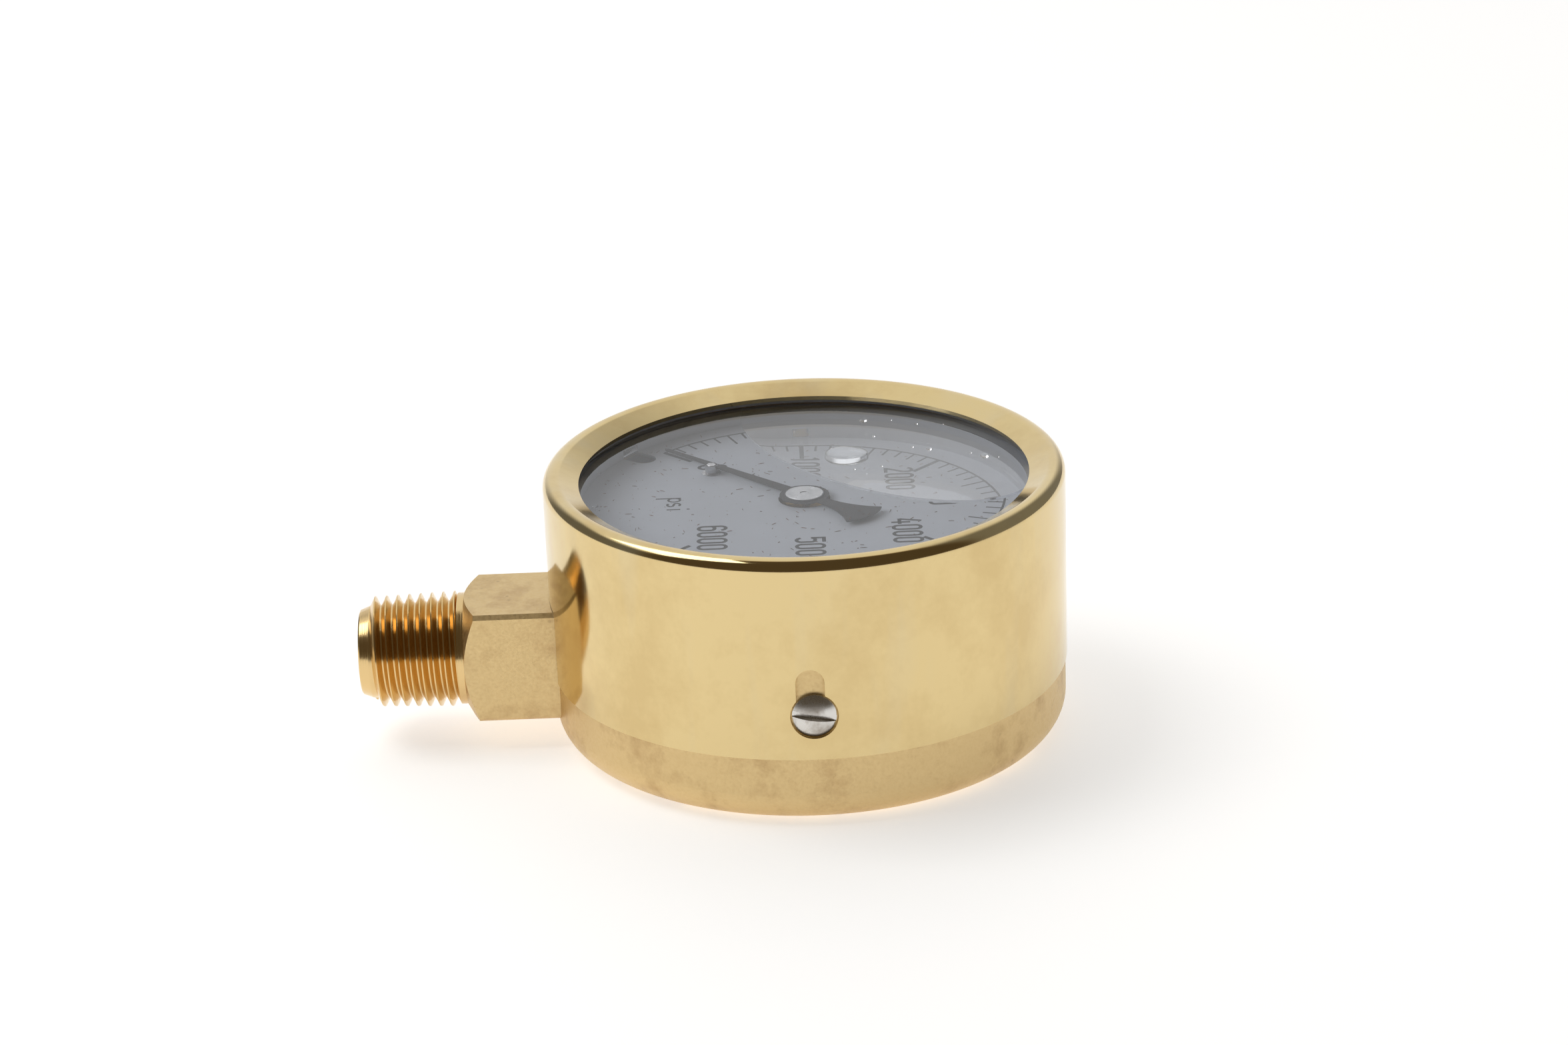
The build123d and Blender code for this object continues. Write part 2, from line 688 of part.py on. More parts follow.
with BuildPart() as sector_gear:
    with BuildSketch(turned_plane(fan_middle, sector_bottom, sector_centre)):
        with BuildLine():
            Line((0, 0), (fan_corner[0], -fan_corner[1]))
            CenterArc((0, 0), sector_root, -fan_half_angle, 2 * fan_half_angle)
            Line((fan_corner[0], fan_corner[1]), (0, 0))
        make_face()
        with BuildLine():
            CenterArc((0, 0), opening_outer, -opening_half_angle, 2 * opening_half_angle)
            CenterArc((0, 0), opening_inner, -opening_half_angle, 2 * opening_half_angle)
            for end in (-opening_half_angle, opening_half_angle):
                Line(around(end, opening_inner), around(end, opening_outer))
        make_face(mode=Mode.SUBTRACT)
        Circle(2.4)
    extrude(amount=sector_thickness)
    for index in range(-teeth_in_travel - spare_teeth, spare_teeth + 1):
        tooth_azimuth = sector_azimuth + 180 + index * tooth_angle
        with BuildSketch(turned_plane(tooth_azimuth, sector_bottom, sector_centre)):
            tooth(sector_root, sector_pitch_radius, sector_tip, 0.34, 0.15)
        extrude(amount=sector_thickness)
    # Slotted tail that the link drives.
    with BuildSketch(turned_plane(tail_rest_azimuth, sector_bottom, sector_centre)):
        with Locations((tail_reach / 2, 0)):
            Rectangle(tail_reach, 2.8)
        with Locations((tail_reach, 0)):
            Circle(1.4)
        with Locations((tail_reach - 0.1, 0)):
            SlotOverall(
                2 * tail_slot_half_length + 2 * tail_slot_half_width,
                2 * tail_slot_half_width,
                mode=Mode.SUBTRACT,
            )
    extrude(amount=sector_thickness)
    with BuildSketch(turned_plane(tail_rest_azimuth, sector_bottom, sector_centre)):
        with Locations((tail_reach - 0.1, 0)):
            SlotOverall(2 * tail_slot_half_length + 2 * tail_slot_half_width, 2 * tail_slot_half_width)
        Circle(0.9)
    extrude(amount=sector_thickness, mode=Mode.SUBTRACT)
save(sector_gear.part, "sector_gear")

with BuildPart() as sector_shaft:
    with BuildSketch(Plane.XY.offset(plate_bottom + 0.1)):
        with Locations(sector_centre):
            Circle(pivot_radius)
    extrude(amount=front_plate_top - plate_bottom - 0.2)
    with BuildSketch(Plane.XY.offset(plate_top + 0.05)):
        with Locations(sector_centre):
            Circle(0.9)
    extrude(amount=front_plate_bottom - plate_top - 0.1)
save(sector_shaft.part, "sector_shaft")

with BuildPart() as pinion_shaft:
    with BuildSketch(Plane.XY.offset(plate_bottom + 0.1)):
        Circle(pivot_radius)
    extrude(amount=2)
    with BuildSketch(Plane.XY.offset(plate_top + 0.05)):
        Circle(shaft_radius)
    extrude(amount=pointer_bottom - plate_top - 0.05)
    with BuildSketch(Plane.XY.offset(pointer_bottom)):
        Circle(shaft_radius - 0.15)
    extrude(amount=shaft_top - pointer_bottom, taper=2)
    with BuildSketch(Plane.XY.offset(sector_bottom - 0.4)):
        Circle(pinion_root)
    extrude(amount=sector_thickness + 0.8)
    for index in range(pinion_teeth):
        gap_turn = (index + 0.5) * 360 / pinion_teeth
        with BuildSketch(turned_plane(sector_azimuth + gap_turn, sector_bottom - 0.4)):
            tooth(pinion_root, pinion_pitch_radius, pinion_tip, 0.25, 0.1)
        extrude(amount=sector_thickness + 0.8)
save(pinion_shaft.part, "pinion_shaft")

# ------------------------------------------------------------- movement frame
plate_middle = around(sector_azimuth, (near_post_reach + gear_centres + far_post_overhang) / 2)
plate_run = gear_centres + far_post_overhang - near_post_reach


def plate_outline():
    """Round-ended plate over the shaft line, with its screw or spigot holes."""
    with Locations(plate_middle):
        SlotCenterToCenter(plate_run, 2 * plate_half_width, rotation=sector_azimuth)
    with Locations(near_post, far_post):
        Circle(spigot_radius + 0.02, mode=Mode.SUBTRACT)
    with Locations(sector_centre):
        Circle(pivot_radius + running_gap, mode=Mode.SUBTRACT)


with BuildPart() as back_plate:
    with BuildSketch(Plane.XY.offset(plate_bottom)):
        plate_outline()
        Circle(pivot_radius + running_gap, mode=Mode.SUBTRACT)
    extrude(amount=plate_thickness)
save(back_plate.part, "back_plate")

with BuildPart() as front_plate:
    with BuildSketch(Plane.XY.offset(front_plate_bottom)):
        plate_outline()
        Circle(shaft_radius + running_gap, mode=Mode.SUBTRACT)
    extrude(amount=plate_thickness)
save(front_plate.part, "front_plate")

with BuildPart() as movement_posts:
    with BuildSketch(Plane.XY.offset(case_floor)):
        with Locations(near_post, far_post):
            RegularPolygon(post_radius, 6)
    extrude(amount=plate_bottom - case_floor)
    with BuildSketch(Plane.XY.offset(case_floor)):
        with Locations(near_post, far_post):
            Circle(post_foot_radius - 0.02)
    extrude(amount=-post_foot_length)
    with BuildSketch(Plane.XY.offset(plate_bottom)):
        with Locations(near_post, far_post):
            Circle(spigot_radius)
    extrude(amount=spigot_length)
save(movement_posts.part, "movement_posts")

with BuildPart() as plate_pillars:
    with BuildSketch(Plane.XY.offset(plate_top)):
        with Locations(near_post, far_post):
            Circle(pillar_radius)
    extrude(amount=front_plate_bottom - plate_top)
    lower_socket = spigot_length - plate_thickness + 0.1
    for height, depth in ((plate_top, lower_socket), (front_plate_bottom, -2.1)):
        with BuildSketch(Plane.XY.offset(height)):
            with Locations(near_post, far_post):
                Circle(spigot_radius + 0.02)
        extrude(amount=depth, mode=Mode.SUBTRACT)
save(plate_pillars.part, "plate_pillars")

with BuildPart() as movement_screws:
    with BuildSketch(Plane.XY.offset(front_plate_top)):
        with Locations(near_post, far_post):
            Circle(1.35)
    extrude(amount=0.8)
    with BuildSketch(Plane.XY.offset(front_plate_top)):
        with Locations(near_post, far_post):
            Circle(spigot_radius)
    extrude(amount=-plate_thickness - 2)
    with BuildSketch(Plane.XY.offset(front_plate_top + 0.8)):
        with Locations(near_post, far_post):
            Rectangle(3, 0.35)
    extrude(amount=-0.4, mode=Mode.SUBTRACT)
save(movement_screws.part, "movement_screws")

# ------------------------------------------------------- hairspring and stud
with BuildPart() as hairspring_collet:
    with BuildSketch(Plane.XY.offset(hairspring_bottom - 0.3)):
        Circle(collet_radius)
        Circle(shaft_radius + 0.005, mode=Mode.SUBTRACT)
    extrude(amount=hairspring_height + 0.6)
save(hairspring_collet.part, "hairspring_collet")

# Half-turn arcs of growing radius, with centres stepping from side to side.
spring_step = hairspring_pitch / 2
spring_start = collet_radius + hairspring_strip / 2 + 0.01
with BuildPart() as hairspring:
    with BuildSketch(turned_plane(sector_azimuth + 90, hairspring_bottom)):
        with BuildLine():
            for index in range(hairspring_half_turns):
                arc_radius = spring_start + spring_step * (index + 0.5)
                centre_side = -1 if index % 2 else 1
                arc_start = 0 if index % 2 else 180
                CenterArc((centre_side * spring_step / 2, 0), arc_radius, arc_start, 180)
        trace(line_width=hairspring_strip)
    extrude(amount=hairspring_height)
save(hairspring.part, "hairspring")

spring_end_reach = spring_start + spring_step * hairspring_half_turns
spring_end_side = 1 if hairspring_half_turns % 2 else -1
with BuildPart() as hairspring_stud:
    with BuildSketch(turned_plane(sector_azimuth + 90, hairspring_bottom)):
        with Locations((spring_end_side * (spring_end_reach + 0.5), 0)):
            Circle(0.42)
    extrude(amount=front_plate_bottom - hairspring_bottom)
save(hairspring_stud.part, "hairspring_stud")

# -------------------------------------------------------------------- pointer
tail_corner = (
    -pointer_tail_reach * cos(radians(pointer_tail_half_angle)),
    pointer_tail_reach * sin(radians(pointer_tail_half_angle)),
)
with BuildPart() as pointer:
    with BuildSketch(turned_plane(pointer_rest_azimuth, pointer_bottom)):
        Circle(pointer_boss_radius)
        with BuildLine():
            Polyline(
                (0, -0.85),
                (pointer_reach - 0.4, -0.32),
                (pointer_reach, 0),
                (pointer_reach - 0.4, 0.32),
                (0, 0.85),
                close=True,
            )
        make_face()
        with BuildLine():
            Line((0, 0.85), (-2.6, 0.85))
            ThreePointArc((-2.6, 0.85), (-6.6, 1.35), tail_corner)
            ThreePointArc(tail_corner, (-pointer_tail_reach - 0.5, 0), (tail_corner[0], -tail_corner[1]))
            ThreePointArc((tail_corner[0], -tail_corner[1]), (-6.6, -1.35), (-2.6, -0.85))
            Line((-2.6, -0.85), (0, -0.85))
            Line((0, -0.85), (0, 0.85))
        make_face()
        Circle(shaft_radius - 0.14, mode=Mode.SUBTRACT)
    extrude(amount=pointer_thickness)
save(pointer.part, "pointer")

with BuildPart() as pointer_hub:
    with BuildSketch(Plane.XY.offset(pointer_bottom + pointer_thickness)):
        Circle(hub_radius)
    extrude(amount=hub_top - pointer_bottom - pointer_thickness)
    fillet(edges().filter_by(GeomType.CIRCLE).group_by(Axis.Z)[-1], radius=0.15)
    with BuildSketch(Plane.XY.offset(hub_top)):
        Circle(0.55)
    extrude(amount=-0.2, mode=Mode.SUBTRACT)
    with BuildSketch(Plane.XY.offset(pointer_bottom + pointer_thickness)):
        Circle(shaft_radius - 0.14)
    extrude(amount=shaft_top - pointer_bottom - pointer_thickness + 0.02, mode=Mode.SUBTRACT)
save(pointer_hub.part, "pointer_hub")

print("sector centre", sector_centre, "travel", sector_travel)
print("tip pin", tip_pin_place, "travel", tip_travel, "link pin", link_pin_place, "link", link_length)
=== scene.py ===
import random
from math import acos, acosh, cos, degrees, pi, radians, sin, sqrt

import bmesh
import bpy
from mathutils import Matrix, Vector


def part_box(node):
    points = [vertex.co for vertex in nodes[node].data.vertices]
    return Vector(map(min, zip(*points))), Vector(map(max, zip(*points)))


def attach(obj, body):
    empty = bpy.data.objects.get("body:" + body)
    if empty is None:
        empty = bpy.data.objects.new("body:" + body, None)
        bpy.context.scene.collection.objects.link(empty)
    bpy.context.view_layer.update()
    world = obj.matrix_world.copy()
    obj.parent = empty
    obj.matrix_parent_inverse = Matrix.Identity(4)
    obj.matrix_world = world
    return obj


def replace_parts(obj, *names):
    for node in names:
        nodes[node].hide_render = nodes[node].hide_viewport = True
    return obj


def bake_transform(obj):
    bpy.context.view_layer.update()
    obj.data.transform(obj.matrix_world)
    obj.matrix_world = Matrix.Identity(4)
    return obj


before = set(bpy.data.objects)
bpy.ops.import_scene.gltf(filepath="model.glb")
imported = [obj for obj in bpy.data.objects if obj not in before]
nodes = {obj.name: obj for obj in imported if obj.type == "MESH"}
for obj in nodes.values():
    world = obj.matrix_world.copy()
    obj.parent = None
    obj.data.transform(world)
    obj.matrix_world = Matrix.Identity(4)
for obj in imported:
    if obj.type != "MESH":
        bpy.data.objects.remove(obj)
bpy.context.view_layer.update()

# Liquid-filled pressure gauge lying on its back: stem towards -X, dial up, metres.

mm = 0.001
print("frame loaded:", len(nodes), "nodes")


def hexColour(text):
    # sRGB hex to the linear colour the shaders want
    parts = [int(text[i:i + 2], 16) / 255 for i in (1, 3, 5)]
    return tuple(c / 12.92 if c <= 0.04045 else ((c + 0.055) / 1.055) ** 2.4 for c in parts) + (1.0,)


def addNode(tree, kind, inputs=None, **settings):
    # one node with its settings, its plain values and its links
    node = tree.nodes.new(kind)
    for name, value in settings.items():
        setattr(node, name, value)
    for socket, value in (inputs or {}).items():
        if isinstance(value, bpy.types.NodeSocket):
            tree.links.new(value, node.inputs[socket])
        else:
            node.inputs[socket].default_value = value
    return node


def newMaterial(name):
    material = bpy.data.materials.new(name)
    material.use_nodes = True
    material.node_tree.nodes.clear()
    return material, material.node_tree


def dress(name, material):
    # gives a CAD node its finish
    nodes[name].data.materials.clear()
    nodes[name].data.materials.append(material)


def spread(azimuth, reach, height=0.0):
    # point in metres from degrees and millimetres
    return Vector((reach * cos(radians(azimuth)), reach * sin(radians(azimuth)), height)) * mm


# ---- camera
camera = {
    "lens": 90.8,
    "aim": (-2.625, 0.0, 26.13),
    "distance": 486.86,
    "elevation": 21.747,
    "swing": -0.13,
    "roll": -2.18,
}


def placeCamera():
    data = bpy.data.cameras.new("camera")
    data.lens = camera["lens"]
    data.sensor_width = 36
    data.clip_start = 0.01
    eye = bpy.data.objects.new("camera", data)
    bpy.context.scene.collection.objects.link(eye)
    swing, rise = radians(camera["swing"]), radians(camera["elevation"])
    back = Vector((sin(swing) * cos(rise), -cos(swing) * cos(rise), sin(rise)))
    right = (-back).cross(Vector((0, 0, 1))).normalized()
    up = right.cross(-back)
    turn = radians(camera["roll"])
    level = right * cos(turn) + up * sin(turn)
    plumb = up * cos(turn) - right * sin(turn)
    place = (Vector(camera["aim"]) + back * camera["distance"]) * mm
    eye.matrix_world = Matrix.Translation(place) @ Matrix((level, plumb, back)).transposed().to_4x4()
    bpy.context.scene.camera = eye


placeCamera()

# ---- studio: pale floor in a soft tent, dark in front and at both sides, light behind
studio = {
    "floorSize": 4.0,
    "floorDrop": -0.05,
    "floorColour": "#f4f4f3",
    "floorGlow": 0.56,
    "rearWall": 0.92,
    "ceiling": 0.9,
    "ceilingEdge": (0.80, 0.86),
    "frontWall": 0.085,
    "frontEdge": (0.34, 0.12),
    "frontHalfWidth": 0.35,
    "frontTaper": 0.8,
    "plainLight": (0.985, 0.99, 1.0, 1),
    "warmLight": (1.0, 0.76, 0.48, 1),
    # each side wall: where it starts and is full along X, where it ends and is full in height, its tone
    "sideWalls": ((0.2, 0.55, 0.95, 0.86, 0.22), (-0.3, -0.7, 0.66, 0.54, 0.16)),
    "keyPlace": (-0.45, 0.05, 0.8),
    "keySize": 0.5,
    "keyPower": 2.3,
}


def makeFloor():
    half = studio["floorSize"] / 2
    mesh = bpy.data.meshes.new("floor")
    drop = studio["floorDrop"] * mm
    corners = [(-half, -half, drop), (half, -half, drop), (half, half, drop), (-half, half, drop)]
    mesh.from_pydata(corners, [], [(0, 1, 2, 3)])
    floor = bpy.data.objects.new("floor", mesh)
    bpy.context.scene.collection.objects.link(floor)
    material, tree = newMaterial("mattWhiteAcrylicSheet")
    shader = addNode(tree, "ShaderNodeBsdfPrincipled", {
        "Base Color": hexColour(studio["floorColour"]),
        "Roughness": 0.6,
        "Specular IOR Level": 0.2,
        "Emission Color": (1, 1, 1, 1),
        "Emission Strength": studio["floorGlow"],
    })
    addNode(tree, "ShaderNodeOutputMaterial", {"Surface": shader.outputs[0]})
    mesh.materials.append(material)


def makeLights():
    world = bpy.data.worlds.new("softTent")
    bpy.context.scene.world = world
    world.use_nodes = True
    tree = world.node_tree
    tree.nodes.clear()
    where = addNode(tree, "ShaderNodeTexCoord")
    axes = addNode(tree, "ShaderNodeSeparateXYZ", {0: where.outputs["Generated"]})
    start, full = studio["ceilingEdge"]
    shade = addNode(tree, "ShaderNodeMapRange", {
        "Value": axes.outputs[2], "From Min": start, "From Max": full,
        "To Min": studio["rearWall"], "To Max": studio["ceiling"],
    }, interpolation_type="SMOOTHSTEP").outputs[0]
    for first, last, head, foot, tone in studio["sideWalls"]:
        facing = addNode(tree, "ShaderNodeMapRange", {
            "Value": axes.outputs[0], "From Min": first, "From Max": last}, interpolation_type="SMOOTHSTEP")
        below = addNode(tree, "ShaderNodeMapRange", {
            "Value": axes.outputs[2], "From Min": head, "From Max": foot}, interpolation_type="SMOOTHSTEP")
        part = addNode(tree, "ShaderNodeMath", {
            0: facing.outputs[0], 1: below.outputs[0]}, operation="MULTIPLY")
        shade = addNode(tree, "ShaderNodeMix", {"Factor": part.outputs[0], 2: shade, 3: tone},
                        data_type="FLOAT").outputs[0]
    # the dark front runs up past the zenith, narrower as it climbs
    wide = addNode(tree, "ShaderNodeMath", {0: axes.outputs[0]}, operation="ABSOLUTE")
    sides = addNode(tree, "ShaderNodeMath", {
        0: wide.outputs[0], 1: studio["frontHalfWidth"]}, operation="SUBTRACT")
    past = addNode(tree, "ShaderNodeMath", {0: sides.outputs[0], 1: 0.0}, operation="MAXIMUM")
    depth = addNode(tree, "ShaderNodeMath", {
        0: past.outputs[0], 1: studio["frontTaper"], 2: axes.outputs[1]}, operation="MULTIPLY_ADD")
    start, full = studio["frontEdge"]
    front = addNode(tree, "ShaderNodeMapRange", {
        "Value": depth.outputs[0], "From Min": start, "From Max": full}, interpolation_type="SMOOTHSTEP")
    shade = addNode(tree, "ShaderNodeMix", {"Factor": front.outputs[0], 2: shade, 3: studio["frontWall"]},
                    data_type="FLOAT").outputs[0]
    warmth = addNode(tree, "ShaderNodeMix", {
        "Factor": front.outputs[0], 6: studio["plainLight"], 7: studio["warmLight"]}, data_type="RGBA")
    sky = addNode(tree, "ShaderNodeBackground", {"Color": warmth.outputs[2], "Strength": shade})
    addNode(tree, "ShaderNodeOutputWorld", {"Surface": sky.outputs[0]})
    data = bpy.data.lights.new("keyBox", "AREA")
    data.shape = "RECTANGLE"
    data.size = studio["keySize"]
    data.size_y = studio["keySize"]
    data.energy = studio["keyPower"]
    lamp = bpy.data.objects.new("keyBox", data)
    bpy.context.scene.collection.objects.link(lamp)
    place = Vector(studio["keyPlace"])
    lamp.matrix_world = Matrix.Translation(place) @ place.to_track_quat("Z", "Y").to_matrix().to_4x4()


makeFloor()
makeLights()
bpy.context.scene.view_settings.view_transform = "Standard"
print("camera, floor and lights placed")

# ---- metals

caseBrass = {
    "forged": "#dec38f",
    "stained": "#a88256",
    "turned": "#e3c48c",
    "squareEnd": -42.62,
    "pitted": "#5d4630",
    "blotch": 7.0,
    "pit": 1.7,
    "grain": 0.35,
    "turningPitch": 0.12,
    "turningLength": 50.0,
}


def forgedBrass():
    # Hot-forged brass, tumbled and left bare: a dull tan skin with stains, pits and a fine
    # grain. The end of the stem is turned afterwards, so it is bright, deep gold and lined.
    material, tree = newMaterial("forgedBrassWithTurnedThread")
    where = addNode(tree, "ShaderNodeTexCoord")
    place = where.outputs["Object"]
    axes = addNode(tree, "ShaderNodeSeparateXYZ", {0: place})
    blotch = addNode(tree, "ShaderNodeTexNoise", {
        "Vector": place, "Scale": 1000 / caseBrass["blotch"], "Detail": 5.0, "Roughness": 0.62})
    grain = addNode(tree, "ShaderNodeTexNoise", {
        "Vector": place, "Scale": 1000 / caseBrass["grain"], "Detail": 3.0, "Roughness": 0.6})
    pits = addNode(tree, "ShaderNodeTexVoronoi", {
        "Vector": place, "Scale": 1000 / caseBrass["pit"], "Randomness": 1.0})
    pitted = addNode(tree, "ShaderNodeMapRange", {
        "Value": pits.outputs["Distance"], "From Min": 0.06, "From Max": 0.16,
        "To Min": 1.0, "To Max": 0.0})
    stain = addNode(tree, "ShaderNodeMapRange", {
        "Value": blotch.outputs["Fac"], "From Min": 0.50, "From Max": 0.74, "To Min": 0.0, "To Max": 0.6})
    rare = addNode(tree, "ShaderNodeMath", {
        0: pitted.outputs[0], 1: stain.outputs[0]}, operation="MULTIPLY")
    skin = addNode(tree, "ShaderNodeMix", {
        "Factor": stain.outputs[0], 6: hexColour(caseBrass["forged"]), 7: hexColour(caseBrass["stained"])},
        data_type="RGBA")
    dotted = addNode(tree, "ShaderNodeMix", {
        "Factor": rare.outputs[0], 6: skin.outputs[2], 7: hexColour(caseBrass["pitted"])},
        data_type="RGBA")
    lines = addNode(tree, "ShaderNodeTexNoise", {
        "Vector": addNode(tree, "ShaderNodeMapping", {
            "Vector": place,
            "Scale": [1000 / caseBrass["turningPitch"]] + [1000 / caseBrass["turningLength"]] * 2,
        }).outputs[0],
        "Scale": 1.0, "Detail": 2.0})
    turned = addNode(tree, "ShaderNodeMath", {
        0: axes.outputs[0], 1: caseBrass["squareEnd"] * mm}, operation="LESS_THAN")
    colour = addNode(tree, "ShaderNodeMix", {
        "Factor": turned.outputs[0], 6: dotted.outputs[2], 7: hexColour(caseBrass["turned"])},
        data_type="RGBA")
    dull = addNode(tree, "ShaderNodeMapRange", {
        "Value": grain.outputs["Fac"], "From Min": 0.3, "From Max": 0.7, "To Min": 0.34, "To Max": 0.5})
    bright = addNode(tree, "ShaderNodeMapRange", {
        "Value": lines.outputs["Fac"], "From Min": 0.3, "From Max": 0.7, "To Min": 0.12, "To Max": 0.26})
    rough = addNode(tree, "ShaderNodeMix", {
        "Factor": turned.outputs[0], 2: dull.outputs[0], 3: bright.outputs[0]}, data_type="FLOAT")
    relief = addNode(tree, "ShaderNodeMix", {
        "Factor": turned.outputs[0], 2: grain.outputs["Fac"], 3: lines.outputs["Fac"]}, data_type="FLOAT")
    bump = addNode(tree, "ShaderNodeBump", {
        "Height": relief.outputs[0], "Strength": 0.25, "Distance": 0.03 * mm})
    shader = addNode(tree, "ShaderNodeBsdfPrincipled", {
        "Base Color": colour.outputs[2], "Metallic": 1.0, "Roughness": rough.outputs[0],
        "Normal": bump.outputs[0]})
    addNode(tree, "ShaderNodeOutputMaterial", {"Surface": shader.outputs[0]})
    return material


sleeveBrass = {
    "polished": "#dfc893",
    "cloudy": "#d6bd88",
    "smear": "#d6c8a6",
    "cloud": 14.0,
    "orangePeel": 0.9,
    "streakWidth": 6.25,
    "streakLength": 40.0,
}


def polishedBrass():
    # Spun brass, buffed to a mirror and lacquered: pale gold, with faint cloudy patches,
    # a slight orange peel and a dried smear or two where it was handled.
    material, tree = newMaterial("buffedSpunBrass")
    where = addNode(tree, "ShaderNodeTexCoord")
    place = where.outputs["Object"]
    cloud = addNode(tree, "ShaderNodeTexNoise", {
        "Vector": place, "Scale": 1000 / sleeveBrass["cloud"], "Detail": 6.0, "Roughness": 0.66})
    peel = addNode(tree, "ShaderNodeTexNoise", {
        "Vector": place, "Scale": 1000 / sleeveBrass["orangePeel"], "Detail": 2.0, "Roughness": 0.5})
    patch = addNode(tree, "ShaderNodeMapRange", {
        "Value": cloud.outputs["Fac"], "From Min": 0.46, "From Max": 0.66})
    clouded = addNode(tree, "ShaderNodeMix", {
        "Factor": patch.outputs[0],
        6: hexColour(sleeveBrass["polished"]),
        7: hexColour(sleeveBrass["cloudy"]),
    }, data_type="RGBA")
    streaks = addNode(tree, "ShaderNodeTexNoise", {
        "Vector": addNode(tree, "ShaderNodeMapping", {
            "Vector": place,
            "Scale": [1000 / sleeveBrass[size] for size in ("streakWidth", "streakWidth", "streakLength")],
        }).outputs[0],
        "Scale": 1.0, "Detail": 3.0})
    smeared = addNode(tree, "ShaderNodeMapRange", {
        "Value": streaks.outputs["Fac"], "From Min": 0.52, "From Max": 0.8, "To Max": 0.45})
    colour = addNode(tree, "ShaderNodeMix", {
        "Factor": smeared.outputs[0], 6: clouded.outputs[2], 7: hexColour(sleeveBrass["smear"])},
        data_type="RGBA")
    cloudRough = addNode(tree, "ShaderNodeMapRange", {
        "Value": cloud.outputs["Fac"], "From Min": 0.4, "From Max": 0.75, "To Min": 0.08, "To Max": 0.19})
    rough = addNode(tree, "ShaderNodeMath", {0: smeared.outputs[0], 1: 0.14, 2: cloudRough.outputs[0]},
                    operation="MULTIPLY_ADD")
    bump = addNode(tree, "ShaderNodeBump", {
        "Height": peel.outputs["Fac"], "Strength": 0.12, "Distance": 0.01 * mm})
    shader = addNode(tree, "ShaderNodeBsdfPrincipled", {
        "Base Color": colour.outputs[2], "Metallic": 1.0, "Roughness": rough.outputs[0],
        "Normal": bump.outputs[0]})
    addNode(tree, "ShaderNodeOutputMaterial", {"Surface": shader.outputs[0]})
    return material


plainMetals = {
    # colour, duller colour, roughness range, grain in mm, relief in mm
    "nickelPlatedScrewSteel": ("#dcdad6", "#a39a8f", 0.18, 0.38, 0.5, 0.006),
    "turnedBrassRod": ("#d9b467", "#ad8647", 0.16, 0.34, 0.3, 0.006),
    "drawnPhosphorBronze": ("#c88e5e", "#8f5c3c", 0.24, 0.42, 0.6, 0.005),
    "groundSilverSteel": ("#c9c9cb", "#97989c", 0.10, 0.28, 0.4, 0.004),
    "spunSatinAluminium": ("#d2d3d5", "#b4b6b9", 0.24, 0.40, 0.25, 0.006),
}


def plainMetal(name):
    # Small machined parts: the metal's own colour, duller in patches, with a fine tool grain.
    pale, dark, low, high, grainSize, relief = plainMetals[name]
    material, tree = newMaterial(name)
    where = addNode(tree, "ShaderNodeTexCoord")
    grain = addNode(tree, "ShaderNodeTexNoise", {
        "Vector": where.outputs["Object"], "Scale": 1000 / grainSize, "Detail": 4.0})
    patch = addNode(tree, "ShaderNodeTexNoise", {
        "Vector": where.outputs["Object"], "Scale": 1000 / 2.6, "Detail": 5.0, "Roughness": 0.65})
    worn = addNode(tree, "ShaderNodeMapRange", {
        "Value": patch.outputs["Fac"], "From Min": 0.46, "From Max": 0.74})
    colour = addNode(tree, "ShaderNodeMix", {
        "Factor": worn.outputs[0], 6: hexColour(pale), 7: hexColour(dark)}, data_type="RGBA")
    rough = addNode(tree, "ShaderNodeMapRange", {
        "Value": patch.outputs["Fac"], "From Min": 0.3, "From Max": 0.7, "To Min": low, "To Max": high})
    bump = addNode(tree, "ShaderNodeBump", {
        "Height": grain.outputs["Fac"], "Strength": 0.3, "Distance": relief * mm})
    shader = addNode(tree, "ShaderNodeBsdfPrincipled", {
        "Base Color": colour.outputs[2], "Metallic": 1.0, "Roughness": rough.outputs[0],
        "Normal": bump.outputs[0]})
    addNode(tree, "ShaderNodeOutputMaterial", {"Surface": shader.outputs[0]})
    return material


nickel = plainMetal("nickelPlatedScrewSteel")
turnedBrass = plainMetal("turnedBrassRod")
bronze = plainMetal("drawnPhosphorBronze")
steel = plainMetal("groundSilverSteel")
aluminium = plainMetal("spunSatinAluminium")

# ---- paint, plastic, rubber
coatings = {
    # colour, second colour, roughness range, grain in mm, relief in mm
    "stovedBlackPaint": ("#303134", "#242527", 0.38, 0.55, 0.25, 0.004),
    # the dial is white paint; its grey-blue colour is darker than white, as painted shade for the shade it
    # lies in under the crown
    "whiteDialPlateWithPaintedShade": ("#b6bdc9", "#abb1bb", 0.40, 0.55, 0.5, 0.003),
    "screenPrintedInk": ("#2a2b2f", "#36373b", 0.55, 0.70, 0.15, 0.004),
    "mouldedBlackRubber": ("#26262a", "#323234", 0.55, 0.75, 0.3, 0.012),
    "mouldedGreyRubber": ("#b4b7bc", "#9a9894", 0.5, 0.7, 0.3, 0.010),
}


